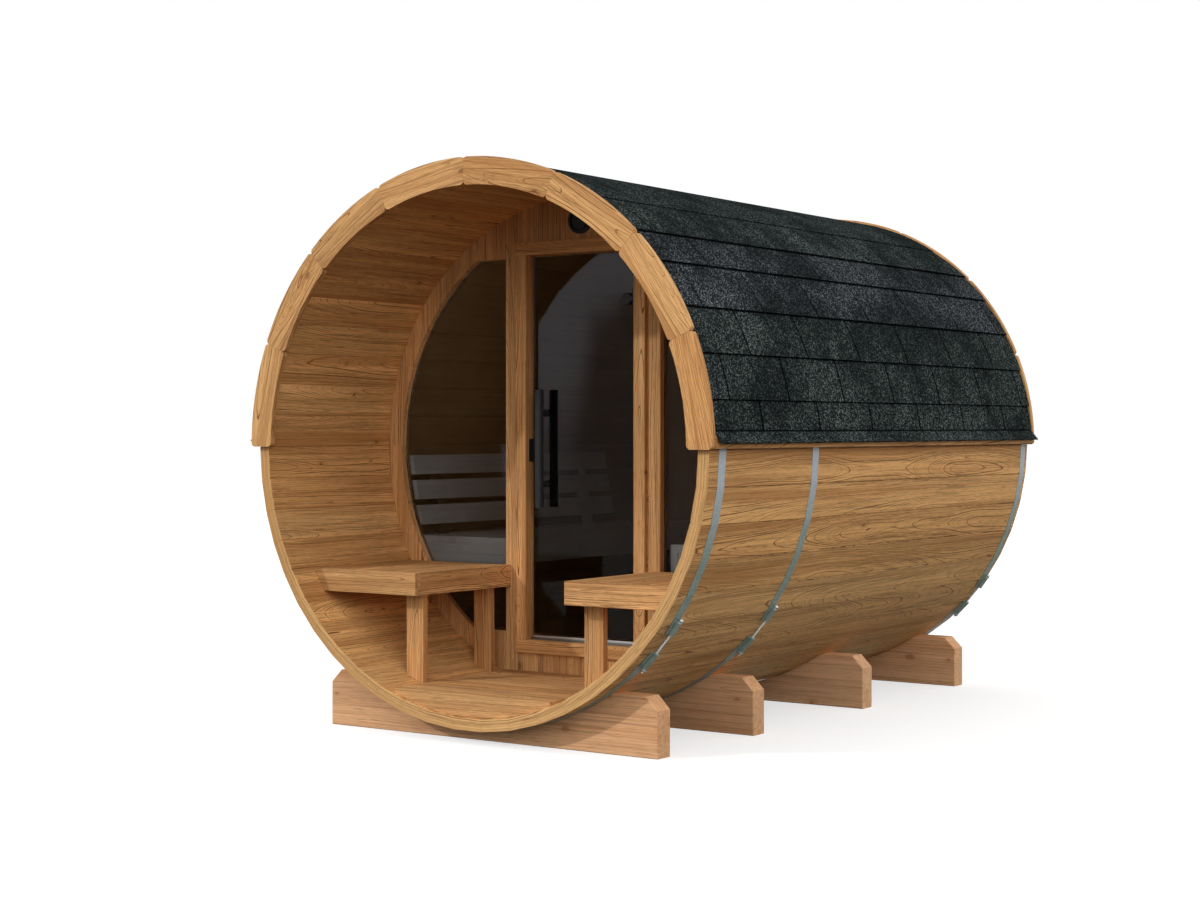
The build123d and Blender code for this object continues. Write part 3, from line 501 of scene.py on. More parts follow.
def boards_across(start, pitch, middle_z, seed):
    """Boards that lie across the barrel, counted along it."""
    def layout(w, x, y, z):
        _, number, off = w.boards(y, start, pitch)
        return off, w.sub(z, middle_z), x, w.add(number, seed)
    return layout


def boards_by_side(start, pitch, middle_z, seed):
    """Boards that run along the barrel, counted away from the middle on both sides."""
    def layout(w, x, y, z):
        _, number, off = w.boards(w.size(x), start, pitch)
        board = w.add(number, w.mul(w.math("SIGN", x), 9.0), seed)
        return off, w.sub(z, middle_z), y, board
    return layout


def pieces_by_side(order, middles, seed):
    """One board on each side, its grain along the last letter of the order, around its middle."""
    def layout(w, x, y, z):
        axes = {"x": w.size(x), "y": y, "z": z}
        number = w.add(w.mul(w.math("SIGN", x), 7.0), seed)
        return *(w.sub(axes[a], middle) for a, middle in zip(order, middles)), number
    return layout


print("layouts of boards ready")

# %% Layouts of single pieces
frame_depth, sill_middle, head_over_sill = -0.568, 0.2586, 1.4722
apron_split, front_apron, side_apron, apron_middle = -1.1101, -1.124, 0.334, 0.5182
leg_split, front_leg, leg_step, leg_aside = -0.9, -1.047, 0.389, 0.3873
rest_foot, rest_aside, rest_lean = 0.653, 0.774, math.tan(math.radians(11.0))
post_depth, slat_pitch, slat_foot, slat_middle = 0.0219, 0.097, 0.682, 0.731
first_cradle, cradle_middle = -1.112, 0.1
cradle_steps = ((-0.8, 0.610), (-0.1, 0.8235), (0.7, 0.8235))


def head_layout(w, x, y, z):
    high = w.above(z, axis_height)
    middle = w.add(sill_middle, w.mul(high, head_over_sill))
    return w.sub(z, middle), w.sub(y, frame_depth), x, w.add(high, 393.0)


def apron_layout(w, x, y, z):
    front = w.below(y, apron_split)
    through = w.choose(front, w.sub(y, front_apron), w.sub(w.size(x), side_apron))
    number = w.add(w.mul(w.math("SIGN", x), 5.0), w.mul(front, 2.0), 401.0)
    return w.sub(z, apron_middle), through, w.choose(front, x, y), number


def leg_layout(w, x, y, z):
    back = w.above(y, leg_split)
    number = w.add(w.mul(w.math("SIGN", x), 9.0), w.mul(back, 3.0), 431.0)
    middle = w.add(front_leg, w.mul(back, leg_step))
    return w.sub(w.size(x), leg_aside), w.sub(y, middle), z, number


def rest_post(w, x, z):
    """How deep a point is in the leaning back rest, and 1 where it is in an upright."""
    face = w.add(rest_aside, w.mul(w.sub(z, rest_foot), rest_lean))
    depth = w.sub(w.size(x), face)
    return depth, w.above(depth, post_depth)


def near_post(w, x, y, z):
    return w.mul(rest_post(w, x, z)[1], w.below(y, 0.0))


def rest_layout(w, x, y, z):
    depth, post = rest_post(w, x, z)
    slat = w.math("FLOOR", w.over(w.sub(z, slat_foot), slat_pitch))
    middle = w.add(slat_middle, w.mul(slat, slat_pitch))
    number = w.add(slat, w.mul(post, 11.0), 501.0)
    return w.choose(post, y, w.sub(z, middle)), depth, w.choose(post, z, y), number


def cradle_layout(w, x, y, z):
    past = [w.above(y, edge) for edge, _ in cradle_steps]
    steps = [w.mul(here, step) for here, (_, step) in zip(past, cradle_steps)]
    middle = w.add(first_cradle, *steps)
    return w.sub(z, cradle_middle), w.sub(y, middle), x, w.add(w.mul(w.add(*past), 3.0), 601.0)


print("layouts of single pieces ready")

# %% Wood finishes on the walls, the barrel and the cradles
def dress(finish, *names):
    """Gives solids a finish."""
    for name in names:
        slots = solids[name].data.materials
        slots.clear()
        slots.append(finish)


def named(start):
    return [name for name in solids if name.startswith(start)]


side_board, middle_board, rear_board = 0.09478, 0.09567, 0.09597
beside_door, rear_face = 0.343, 1.2
dress(wood("stave_wood", stave_layout, stave_pale, stave_dark, bands=0.65,
           half_width=stave_middle * math.tan(stave_turn / 2), sanded=True), *named("staves_"))
dress(wood("trim_wood", trim_layout, trim_pale, trim_dark, knots=0.35, fibres=1.3),
      "trim_front", "trim_rear")
dress(wood("side_wall_wood", upright_boards(beside_door, side_board, 301.0),
           contrast=0.8, half_width=side_board / 2), "front_wall_left", "front_wall_right")
dress(wood("middle_wall_wood", upright_boards(0.0, middle_board, 331.0),
           contrast=0.7, half_width=middle_board / 2), "front_wall_header", "front_wall_base")
dress(wood("rear_wall_wood", upright_boards(rear_board / 2, rear_board, 351.0, rear_face, False),
           contrast=0.9, half_width=rear_board / 2, sanded=True), "rear_wall")
dress(wood("post_wood", pieces_by_side("xyz", (0.315, -0.560, 0.0), 381.0)), "mullions")
dress(wood("jamb_wood", pieces_by_side("xyz", (0.2625, frame_depth, 0.0), 389.0)), "door_jambs")
dress(wood("head_wood", head_layout), "door_head", "door_sill")
dress(wood("batten_wood", pieces_by_side("zxy", (1.031, 0.969, 0.0), 481.0)), "eave_battens")
dress(wood("cradle_wood", cradle_layout, spruce_pale, spruce_dark, 0.0055, 0.48, 0.8,
           knot_shade=(0.80, 0.42, 0.28, 1), knot_size=1.5), *named("cradle_"))
print("cradles and staves in", len(named("cradle_") + named("staves_")), "solids")

# %% Wood finishes on the floors and benches
board_middle = 0.1532
porch = {"pale": porch_pale, "fibres": 1.35}
aspen = {"pale": aspen_pale, "dark": aspen_dark, "ring": 0.003, "contrast": 0.5, "knots": 0.1,
         "bands": 0.1}
dress(wood("bench_wood", boards_by_side(0.348, 0.112, 0.5442, 411.0), **porch), "porch_seats")
dress(wood("apron_wood", apron_layout, contrast=1.4, **porch), "porch_aprons")
dress(wood("leg_wood", leg_layout, leg_pale, knots=0.2), "porch_legs")
dress(wood("deck_wood", boards_across(-1.2067, 0.12484, board_middle, 441.0), **porch),
      "porch_deck")
dress(wood("deck_front_wood", boards_across(-1.24, 0.05, 0.128, 455.0)), "deck_front")
dress(wood("floor_wood", boards_across(-0.5377, 0.12094, board_middle, 461.0)), "cabin_floor")
dress(wood("seat_wood", boards_by_side(0.388, 0.114, 0.6388, 491.0), **aspen),
      "cabin_seats", "cabin_aprons")
dress(wood("rest_wood", rest_layout, stained=near_post, **aspen), "cabin_backrest")
wooden = [o for o in solids.values() if o.data.materials[0].name.endswith("_wood")]
print("wooden solids", len(wooden))

# %% [markdown]
# ## Roof covering
# Bitumen shingles are felt strewn with crushed slate. From near, every grain has its own grey;
# from a few metres, the mix reads as a dark green-black with cloudy patches, and two courses from
# another roll are greyer. Two Voronoi textures give the grains at two sizes and slow noise gives
# the clouds, which are dimmed towards the crown as painted shade. Each tab carries attributes of
# its own: one shifts its tone, and two say how near a point is to the tab's cut edges and laps.
# Shade is painted near-black at the laps, as the shadow line of each course's butt, along the slot
# edges, where bare bitumen also shows at the cut, and on the felt that shows between the tabs.

# %% Shingle finish
bare_felt, shade_and_bitumen = (0.0078, 0.0104, 0.0108, 1), (0.004, 0.005, 0.006, 1)
green_slate, grey_slate = (0.056, 0.075, 0.070, 1), (0.064, 0.072, 0.081, 1)
green_fleck, grey_fleck = (0.222, 0.250, 0.240, 1), (0.232, 0.246, 0.258, 1)


def shingle(name, is_tab):
    """Granulated felt. Painted shade darkens the tabs' laps and cut edges, where bare bitumen also
    shows, and the felt that shows in the slots between them."""
    finish, w, shader = new_finish(name)
    place = place_in(w)
    x, y, z = w.split(place)
    g1, g2, g3 = w.grains(place, 640.0)
    c1, c2, c3 = w.grains(place, 270.0)
    cloud = w.noise(place, 3.2, 3.0, 0.6)
    small_cloud = w.noise(w.xyz(w.add(x, 7.0), y, z), 14.0, 2.0, 0.6)
    light = w.add(w.mul(w.step(c1, 0.55, 1.0), 0.55), w.mul(w.step(g1, 0.45, 1.0), 0.45))
    patch = w.add(w.step(cloud, 0.38, 0.60, 0.46, 1.28), w.mul(w.sub(small_cloud, 0.5), 0.8))
    # Painted shade: the patches and flecks dim towards the crown
    patch = w.mul(patch, w.step(z, 1.60, 1.95, 1.0, 0.50))
    if is_tab:
        patch = w.mul(patch, w.step(w.attribute("tab_tone"), 0.0, 1.0, 0.86, 1.20))
        edge, head = w.attribute("tab_edge"), w.attribute("tab_head")
        # Painted shadow lines at the tab's head, under the next course's butt, and on its butt face
        course_shadow_line = w.most(w.step(head, 0.970, 0.992), w.step(head, 0.002, 0.010, 1.0, 0.0))
        # Painted shade along the slot edges, where bare bitumen also shows, weaker higher up
        cut = w.mul(w.step(edge, 0.988, 0.997), w.step(z, 1.30, 1.60, 0.9, 0.45))
        shaded = w.most(w.mul(course_shadow_line, 0.9), cut)
    else:
        # Painted shade on the felt that shows in the slots between the tabs
        shaded = w.mul(w.step(z, 1.054, 1.058), w.step(z, 1.797, 1.800, 1.0, 0.0))
    other_roll = w.mul(w.step(z, 1.43, 1.47), w.step(z, 1.68, 1.72, 1.0, 0.0))
    slate = w.mix(other_roll, green_slate, grey_slate)
    colour = w.mix(w.math("MULTIPLY", light, patch, clamp=True), bare_felt, slate)
    fleck = w.math("MULTIPLY", w.mul(w.above(c2, 0.83), 0.55), patch, clamp=True)
    colour = w.mix(fleck, colour, w.mix(other_roll, green_fleck, grey_fleck))
    colour = w.mix(w.mul(shaded, 0.85), colour, shade_and_bitumen)
    coloured(w, shader, colour, w.step(g2, 0.0, 1.0, 0.78, 0.95))
    shader.inputs["Specular IOR Level"].default_value = 0.0
    bumped(w, shader, w.add(w.mul(g3, 0.6), w.mul(c3, 0.4)), 0.0012, 0.7)
    return finish


dress(shingle("shingle_felt", False), "roof_right", "roof_left", "drip_strips")
tab_felt = shingle("shingle_tabs", True)
print("shingle finishes made")

# %% [markdown]
# ## Shingle tabs
# Each course of the roof is a strip cut into tabs, with the slots of one course over the middle
# of the tabs below. The CAD source has the lapped courses; here every course gets its tabs as a
# thin skin. Modelling them by hand would mean a hundred curved plates. Geometry Nodes lay flat
# blocks in a line and then bend the whole line around the barrel, so one tree does every course.

# %% Helpers for Geometry Nodes
def new_shape_tree(name, kinds):
    """A Geometry Nodes tree with named inputs: its wires, its inputs and their identifiers."""
    tree = bpy.data.node_groups.new(name, "GeometryNodeTree")
    tree.is_modifier = True
    tree.interface.new_socket("Geometry", in_out="OUTPUT", socket_type="NodeSocketGeometry")
    ids = add_inputs(tree, kinds)
    w = Wires(tree)
    return w, w.new("NodeGroupInput").outputs, ids


def end_tree(w, shape, finish):
    """Ends a tree with its finish."""
    coat = w.new("GeometryNodeSetMaterial", {"Geometry": shape, "Material": finish})
    w.new("NodeGroupOutput", {"Geometry": coat.outputs["Geometry"]})


def add_object(name, data):
    """A new object at the origin of the scene."""
    made = bpy.data.objects.new(name, data)
    bpy.context.scene.collection.objects.link(made)
    return made


def run_tree(name, tree, ids, sizes):
    """Runs a Geometry Nodes tree on an empty mesh and returns its result as a plain mesh."""
    holder = add_object(name, bpy.data.meshes.new(name))
    modifier = holder.modifiers.new(name, "NODES")
    modifier.node_group = tree
    for size, value in sizes.items():
        modifier[ids[size]] = value
    evaluated = holder.evaluated_get(bpy.context.evaluated_depsgraph_get())
    made = bpy.data.meshes.new_from_object(evaluated)
    bpy.data.objects.remove(holder)
    return made


def join_meshes(name, meshes):
    """One plain object from several meshes, at the origin."""
    parts = [add_object(name, mesh) for mesh in meshes]
    with bpy.context.temp_override(active_object=parts[0], selected_editable_objects=parts):
        bpy.ops.object.join()
    parts[0].name = name
    return parts[0]


print("Geometry Nodes helpers ready")

# %% Shingle tab tree
tab_sizes = {
    "Thickness": 0.0026, "Tab pitch": 0.385, "Slot": 0.008,
    "Front": front_rim + 0.0005, "Rear": rear_rim - 0.0005,
    "Low radius": roof_radius + 0.015, "High radius": roof_radius + 0.009,
}
tab_lift = 0.0014


def flat_tabs(w, given):
    """Blocks in a line, not bent yet, that carry their tone and how near an edge or lap is."""
    width = w.sub(given["Tab pitch"], given["Slot"])
    block = w.new("GeometryNodeMeshCube", {
        "Size": w.xyz(1.0, width, 1.0), "Vertices X": 9, "Vertices Y": 5, "Vertices Z": 2})
    foot, aside, _ = w.split(w.new("GeometryNodeInputPosition").outputs[0])

    def mark(shape, name, value, domain):
        sockets = {"Geometry": shape, "Name": name, "Value": value}
        return w.new("GeometryNodeStoreNamedAttribute", sockets,
                     data_type="FLOAT", domain=domain).outputs["Geometry"]

    tab = mark(block.outputs["Mesh"], "tab_edge", w.over(w.size(aside), w.mul(width, 0.5)), "POINT")
    tab = mark(tab, "tab_head", w.add(foot, 0.5), "POINT")
    middle = w.add(given["First joint"], w.mul(given["Tab pitch"], 0.5))
    line = w.new("GeometryNodeMeshLine", {
        "Count": given["Tabs"], "Start Location": w.xyz(0.0, middle, 0.0),
        "Offset": w.xyz(0.0, given["Tab pitch"], 0.0)}, mode="OFFSET")
    lay = w.new("GeometryNodeInstanceOnPoints", {"Points": line.outputs["Mesh"], "Instance": tab})
    tone = w.new("FunctionNodeRandomValue", {"Seed": given["Seed"]}, data_type="FLOAT")
    course = mark(lay.outputs["Instances"], "tab_tone", tone.outputs[1], "INSTANCE")
    return w.new("GeometryNodeRealizeInstances", {"Geometry": course}).outputs["Geometry"]


def make_tab_tree():
    w, given, ids = new_shape_tree("shingle_course", {
        "Float": {**tab_sizes, "Low angle": 0.1, "High angle": 0.2, "First joint": -1.4,
                  "Side": 1.0},
        "Int": {"Tabs": 9, "Seed": 1},
        "Material": {"Felt": None},
    })
    x, y, z = w.split(w.new("GeometryNodeInputPosition").outputs[0])
    share = w.add(x, 0.5)

    def between(low, high):
        return w.add(given[low], w.mul(share, w.sub(given[high], given[low])))

    # A tab lies close at its head and lifts a little at its foot, each by its own amount
    tone = w.new("GeometryNodeInputNamedAttribute", {"Name": "tab_tone"}, data_type="FLOAT")
    lift = w.mul(tone.outputs[0], tab_lift, w.math("POWER", w.sub(1.0, share), 3.0))
    angle = between("Low angle", "High angle")
    reach = w.add(between("Low radius", "High radius"),
                  w.mul(w.add(z, 0.5), w.add(given["Thickness"], lift)))
    bent = w.xyz(
        w.mul(reach, w.math("COSINE", angle), given["Side"]),
        w.least(w.most(y, given["Front"]), given["Rear"]),
        w.add(w.mul(reach, w.math("SINE", angle)), axis_height),
    )
    wrap = w.new("GeometryNodeSetPosition", {"Geometry": flat_tabs(w, given), "Position": bent})
    flip = w.new("GeometryNodeFlipFaces", {
        "Mesh": wrap.outputs["Geometry"], "Selection": w.above(given["Side"], 0.0)})
    end_tree(w, flip.outputs["Mesh"], given["Felt"])
    return w.tree, ids


tab_tree, tab_ids = make_tab_tree()
print("tab tree", len(tab_tree.nodes), "nodes")

# %% Shingle tabs on every course
course_edges = [math.radians(a) for a in (3.6, 9.3, 18.2, 27.7, 37.9, 46.0, 57.0)]
course_gap = 0.0006
joints = (0.687, 0.8795)
for side, side_name, seed in ((1.0, "right", 11), (-1.0, "left", 31)):
    courses = []
    for row, (low, high) in enumerate(zip(course_edges, course_edges[1:])):
        first_joint = front_rim + joints[row % 2] - 3 * tab_sizes["Tab pitch"]
        courses.append(run_tree("course", tab_tree, tab_ids, {
            **tab_sizes, "Low angle": low, "High angle": high - course_gap,
            "First joint": first_joint, "Tabs": 9, "Side": side, "Seed": row + seed,
            "Felt": tab_felt,
        }))
    tabs = join_meshes("shingle_tabs_" + side_name, courses)
    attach(tabs, "barrel")
    print(tabs.name, len(tabs.data.polygons), "faces", rounded(tabs.dimensions))

# %% [markdown]
# ## Metal and glass
# The hoops are galvanised strip: zinc freezes in broad crystals, so the grey changes from patch
# to patch. Towards the ground the strip is painted a darker greenish grey, a painted reflection of
# the dark ground. The bolts are plated and stay bright. The hinges, the handle and the vent are
# painted a satin black.

# %% Metal finishes
def galvanised():
    finish, w, shader = new_finish("galvanised_strip")
    place = place_in(w)
    _, _, z = w.split(place)
    f1, f2, _ = w.grains(place, 110.0)
    stain = w.noise(place, 9.0, 3.0)
    bright = w.mix(w.mul(f1, 0.6), (0.50, 0.54, 0.58, 1), (0.62, 0.66, 0.70, 1))
    # Painted reflection: the strip turns a darker greenish grey towards the ground
    reflected_ground_grey = w.mix(f1, (0.22, 0.29, 0.25, 1), (0.30, 0.38, 0.33, 1))
    ground_reflection_mask = w.step(w.add(z, w.mul(w.sub(stain, 0.5), 0.20)), 0.60, 0.98, 1.0, 0.0)
    rough = w.add(w.mul(f2, 0.12), w.step(stain, 0.2, 0.8, 0.40, 0.55))
    coloured(w, shader, w.mix(ground_reflection_mask, bright, reflected_ground_grey), rough)
    shader.inputs["Specular IOR Level"].default_value = 0.2
    bumped(w, shader, w.noise(place, 260.0), 0.0002, 0.4)
    return finish


def satin_black(name, plain, wear_and_shade):
    finish, w, shader = new_finish(name)
    place = place_in(w)
    wear = w.noise(place, 24.0, 3.0)
    colour = w.mix(w.step(wear, 0.5, 0.8), plain, wear_and_shade)
    coloured(w, shader, colour, w.step(wear, 0.3, 0.7, 0.42, 0.54))
    shader.inputs["Specular IOR Level"].default_value = 0.16
    orange_peel = w.noise(place, 700.0)
    bumped(w, shader, orange_peel, 0.00012, 0.4)
    return finish


def brushed_aluminium():
    finish, w, shader = new_finish("brushed_aluminium")
    x, y, z = w.split(place_in(w))
    lines = w.noise(w.xyz(w.mul(x, 6.0), w.mul(y, 1400.0), w.mul(z, 1400.0)))
    wear_and_shade = w.mix(lines, (0.14, 0.14, 0.13, 1), (0.22, 0.22, 0.21, 1))
    bright = w.mix(lines, (0.40, 0.40, 0.40, 1), (0.52, 0.52, 0.52, 1))
    # Painted shade: the threshold is darker below its top edge, which stays bright
    colour = w.mix(w.step(z, 0.2915, 0.2945), wear_and_shade, bright)
    coloured(w, shader, colour, w.step(lines, 0.3, 0.7, 0.30, 0.42))
    shader.inputs["Metallic"].default_value = 1.0
    bumped(w, shader, lines, 0.0001, 0.4)
    return finish


def plated_steel():
    finish, w, shader = new_finish("plated_steel")
    bloom = w.noise(place_in(w), 160.0, 3.0)
    colour = w.mix(bloom, (0.52, 0.54, 0.55, 1), (0.74, 0.75, 0.75, 1))
    coloured(w, shader, colour, w.step(bloom, 0.3, 0.7, 0.26, 0.40))
    shader.inputs["Metallic"].default_value = 0.8
    return finish


dress(galvanised(), "hoops", "hoop_tensioners")
dress(satin_black("satin_black", (0.026, 0.027, 0.030, 1), (0.038, 0.039, 0.043, 1)),
      "hinge_plates", "door_catch", "door_clamps", "door_handle")
dress(satin_black("vent_black", (0.014, 0.015, 0.016, 1), (0.022, 0.023, 0.025, 1)), "vent")
dress(brushed_aluminium(), "threshold")
print("metal finishes made")

# %% [markdown]
# ## Tinted glass
# The panes are tinted through their body, so the colour sits on the transmission and not on a
# coat. Clear glass in a white studio would mirror the white everywhere. The real door mirrors a
# little sky on its upper left and fades to dark, so the strength of its mirror is a painted
# reflection, graded over the pane, with faint cleaning marks that keep its gloss from being
# perfect.

# %% Tinted glass
dark_mirror = (0.09, 0.09, 0.09, 1)


def slanting_fade(w, x, z):
    """Painted reflection on the windows: fades from the upper left to the lower right."""
    return w.step(w.sub(z, w.mul(x, 1.45)), 0.98, 1.52)


def door_fade(w, x, z):
    """Painted reflection on the door: whole at the top, then only left of a soft edge, and fading
    downwards.
    """
    past_edge = w.sub(x, w.add(0.070, w.mul(w.sub(z, 1.5), 0.2)))
    left = w.mul(w.step(past_edge, -0.10, 0.04, 1.0, 0.0), w.step(z, 0.70, 1.40))
    return w.most(left, w.step(z, 1.45, 1.57))


def tinted_glass(name, clear, smeared, mirror, fade):
    """Tinted pane with a painted reflection: the strength of its mirror fades over the pane."""
    finish, w, shader = new_finish(name)
    place = place_in(w)
    x, _, z = w.split(place)
    smear = w.noise(place, 5.0, 4.0, 0.6)
    colour = w.mix(w.step(smear, 0.35, 0.7), clear, smeared)
    coloured(w, shader, colour, w.step(smear, 0.5, 0.8, 0.0, 0.02))
    cloudy = w.mul(w.sub(smear, 0.5), 0.25)
    # Painted reflection: the mirror's strength is graded over the pane
    painted_mirror_share = fade(w, w.add(x, w.mul(cloudy, 0.3)), w.add(z, cloudy))
    w.feed(shader.inputs["Specular Tint"], w.mix(painted_mirror_share, dark_mirror, mirror))
    shader.inputs["Transmission Weight"].default_value = 1.0
    shader.inputs["IOR"].default_value = 1.45
    return finish


dress(tinted_glass("door_tint", (0.28, 0.285, 0.290, 1), (0.31, 0.315, 0.320, 1),
                   (0.55, 0.58, 0.65, 1), door_fade), "door_glass")
dress(tinted_glass("window_tint", (0.50, 0.520, 0.55, 1), (0.54, 0.560, 0.59, 1),
                   (0.20, 0.21, 0.23, 1), slanting_fade), "window_panes")
print("dressed", sum(1 for o in solids.values() if o.data.materials), "of", len(solids), "solids")

# %% [markdown]
# ## Hoop bolts
# Each hoop is pulled tight by a long bolt between two brackets. The solids have the shank, the
# hexagon head and the nut. What the eye still misses close by is the thread, a rounded cap on the
# head, a washer at each end and the stub of thread past the nut. A screw thread follows a spiral,
# so a Geometry Nodes tree sweeps a small profile along one and sets the other turned pieces on
# the same line. The tree builds upright, then turns into the direction of its bolt.

# %% Bolt tree
bolt_sizes = {
    "Shank radius": 0.004, "Pitch": 0.00125, "Thread start": 0.027, "Thread length": 0.083,
    "Head level": -0.036, "Head radius": 0.0078, "Nut length": 0.009,
    "Washer radius": 0.0094, "Washer": 0.0016, "Stub": 0.006,
}
ridge_share, cap_flatness = 0.42, 0.72


def make_bolt_tree():
    w, given, ids = new_shape_tree("hoop_bolt", {
        "Vector": {"Place": None, "Turn": None},
        "Float": {**bolt_sizes, "Nut level": 0.18},
        "Material": {"Steel": None},
    })
    pieces = []

    def put(mesh, level, stretch=None):
        sockets = {"Geometry": mesh, "Translation": w.xyz(0.0, 0.0, level), "Scale": stretch}
        pieces.append(w.new("GeometryNodeTransform", sockets).outputs["Geometry"])

    def thread(level, run):
        coil = w.new("GeometryNodeCurveSpiral", {
            "Resolution": 10, "Rotations": w.over(run, given["Pitch"]), "Height": run,
            "Start Radius": given["Shank radius"], "End Radius": given["Shank radius"]})
        sweep = w.new("GeometryNodeCurveToMesh", {
            "Curve": coil.outputs["Curve"], "Profile Curve": ridge.outputs["Curve"],
            "Fill Caps": True})
        put(sweep.outputs["Mesh"], level)

    def turned(radius, depth, level, sides=24):
        disc = w.new("GeometryNodeMeshCylinder", {
            "Vertices": sides, "Radius": radius, "Depth": depth})
        put(disc.outputs["Mesh"], w.add(level, w.mul(depth, 0.5)))

    ridge = w.new("GeometryNodeCurvePrimitiveCircle", {
        "Resolution": 4, "Radius": w.mul(given["Pitch"], ridge_share)}, mode="RADIUS")
    nut_end = w.add(given["Nut level"], given["Nut length"])
    head_foot = w.mul(given["Thread start"], -1.0)
    thread(given["Thread start"], given["Thread length"])
    thread(nut_end, given["Stub"])
    turned(given["Washer radius"], given["Washer"], w.sub(head_foot, given["Washer"]))
    turned(given["Washer radius"], given["Washer"], given["Nut level"])
    turned(given["Shank radius"], given["Stub"], nut_end, 16)
    cap = w.new("GeometryNodeMeshUVSphere", {
        "Segments": 24, "Rings": 12, "Radius": given["Head radius"]})
    put(cap.outputs["Mesh"], given["Head level"], (1.0, 1.0, cap_flatness))
    bolt = w.new("GeometryNodeJoinGeometry")
    for piece in pieces:
        w.feed(bolt.inputs["Geometry"], piece)
    turn = w.new("GeometryNodeTransform", {
        "Geometry": bolt.outputs["Geometry"], "Translation": given["Place"],
        "Rotation": given["Turn"]})
    real = w.new("GeometryNodeRealizeInstances", {"Geometry": turn.outputs["Geometry"]})
    end_tree(w, real.outputs["Geometry"], given["Steel"])
    return w.tree, ids


bolt_tree, bolt_ids = make_bolt_tree()
print("bolt tree", len(bolt_tree.nodes), "nodes")

# %% Bolts on the three hoops
bolt_reach, nut_past_end = 0.9577 + 0.009, 0.035
bolt_angles = math.radians(-36.2), math.radians(-44.8)
bright_steel = plated_steel()
bolts = []
for hoop_y in (-1.173, -0.563, 1.206):
    top, foot = (
        Vector((bolt_reach * math.cos(a), hoop_y, axis_height + bolt_reach * math.sin(a)))
        for a in bolt_angles
    )
    turn = (foot - top).to_track_quat("Z", "Y").to_euler()
    bolts.append(run_tree("bolt", bolt_tree, bolt_ids, {
        **bolt_sizes, "Place": list(top), "Turn": list(turn),
        "Nut level": (foot - top).length + nut_past_end, "Steel": bright_steel,
    }))
threads = join_meshes("hoop_bolt_threads", bolts)
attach(threads, "barrel")
print(threads.name, len(threads.data.polygons), "faces", rounded(threads.dimensions))

# %% [markdown]
# ## Bench ends in the cabin
# Through the half-moon windows the pale end boards of the cabin benches show, right behind the
# wall. Each is a short board under the seat that is cut to the round of the barrel at its outer
# end. The outline is drawn once, mirrored by its numbers and not by a scale, and a small bevel
# breaks its edges as a plane would.

# %% Bench end boards
seat_low, apron_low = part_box("cabin_seats"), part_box("cabin_aprons")
board_top, board_foot = seat_low[0][2], apron_low[0][2]
board_front, board_back = seat_low[0][1] + 0.0005, seat_low[0][1] + 0.0285
board_inside, inside_reach, edge_bevel = apron_low[1][0] + 0.001, 0.908, 0.0015
outline = [(board_inside, board_foot), (board_inside, board_top)]
for level in (board_top, (board_top + board_foot) / 2, board_foot):
    outline.append((math.sqrt(inside_reach ** 2 - (axis_height - level) ** 2), level))
ends_mesh = bpy.data.meshes.new("bench_ends")
shape = bmesh.new()
for side in (1, -1):
    near = [shape.verts.new((side * x, board_front, z)) for x, z in outline]
    far = [shape.verts.new((side * x, board_back, z)) for x, z in outline]
    shape.faces.new(near)
    shape.faces.new(far)
    for i in range(len(outline)):
        j = (i + 1) % len(outline)
        shape.faces.new((near[i], near[j], far[j], far[i]))
bmesh.ops.recalc_face_normals(shape, faces=shape.faces)
bmesh.ops.bevel(shape, geom=shape.edges, offset=edge_bevel, segments=2, profile=0.5,
                affect="EDGES")
shape.to_mesh(ends_mesh)
shape.free()
bench_ends = add_object("bench_ends", ends_mesh)
end_layout = pieces_by_side("zyx", (0.59, -0.524, 0.0), 521.0)
ends_mesh.materials.append(wood("bench_end_wood", end_layout, **aspen))
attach(bench_ends, "barrel")
print(bench_ends.name, len(ends_mesh.polygons), "faces", rounded(bench_ends.dimensions))

# %% [markdown]
# ## Stage, light and camera
# The sauna stands on a plain pale floor in front of white. A low sun from the front left draws
# the rim's shadow on the first cradle, the white surround lights all sides evenly, and a soft
# disc on the right lifts the staves there. The floor looks pale to the camera, to gloss and
# through glass and keeps the shadow, but gives little light back, as dark paving would, so that
# the underside of the barrel stays dark.

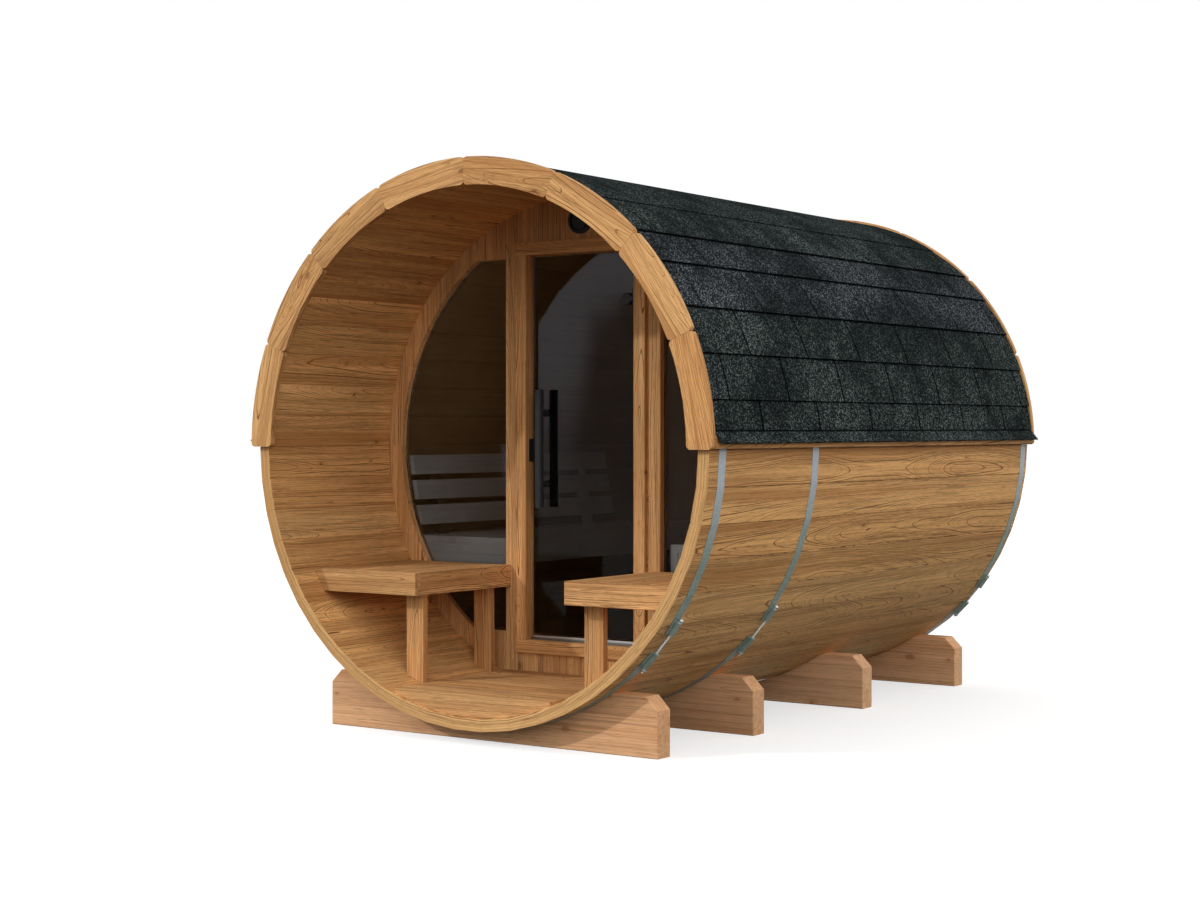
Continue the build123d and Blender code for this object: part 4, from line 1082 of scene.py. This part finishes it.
# %% Floor and surround
def seen_rays(w):
    """1 for rays that look at the stage, 0 for rays that gather its light."""
    path = w.new("ShaderNodeLightPath").outputs
    looked_at = w.most(path["Is Camera Ray"], path["Is Glossy Ray"])
    return w.most(looked_at, path["Is Transmission Ray"])


floor_mesh = bpy.data.meshes.new("floor")
half_floor = 40.0
corners = [(half_floor * x, half_floor * y, 0) for x, y in ((-1, -1), (1, -1), (1, 1), (-1, 1))]
floor_mesh.from_pydata(corners, [], [(0, 1, 2, 3)])
floor = add_object("floor", floor_mesh)
pale_floor, w, shader = new_finish("pale_floor")
seen = seen_rays(w)
floor_colour = w.mix(seen, (0.04, 0.04, 0.04, 1), (0.50, 0.50, 0.50, 1))
coloured(w, shader, floor_colour, 1.0)
shader.inputs["Specular IOR Level"].default_value = 0.0
shader.inputs["Emission Color"].default_value = (1, 1, 1, 1)
w.feed(shader.inputs["Emission Strength"], w.mul(seen, 0.62))
floor_mesh.materials.append(pale_floor)

world = bpy.data.worlds.new("white_surround")
bpy.context.scene.world = world
world.use_nodes = True
world.node_tree.nodes.clear()
w = Wires(world.node_tree)
sky = w.new("ShaderNodeBackground", {"Color": (1, 1, 1, 1), "Strength": 1.0})
w.new("ShaderNodeOutputWorld", {"Surface": sky.outputs[0]})
print("floor and surround ready")

# %% Lights and camera
def facing(direction):
    """The turn that makes a light shine in a direction."""
    return direction.to_track_quat("-Z", "Y").to_euler()


key = add_object("key_light", bpy.data.lights.new("key_light", "SUN"))
key.data.energy = 1.0
key.data.angle = math.radians(1.5)
key.rotation_euler = facing(Vector((0.70, 1.0, -0.69)))

fill = add_object("fill_light", bpy.data.lights.new("fill_light", "AREA"))
fill.data.shape = "DISK"
fill.data.size = 4.0
fill.data.energy = 84.0
fill.location = (6.5, -6.5, 3.6)
fill.rotation_euler = facing(Vector((0.0, -0.3, 0.8)) - fill.location)

camera = add_object("camera", bpy.data.cameras.new("camera"))
camera.data.lens = 61.17
camera.data.sensor_width = 36.0
camera.location = (4.2618, -6.6547, 1.0696)
camera.rotation_euler = Euler((math.radians(90 - 0.6315), 0.0, math.radians(34.53)))
bpy.context.scene.camera = camera
bpy.context.scene.view_settings.view_transform = "Standard"
print("camera at", rounded(camera.location))
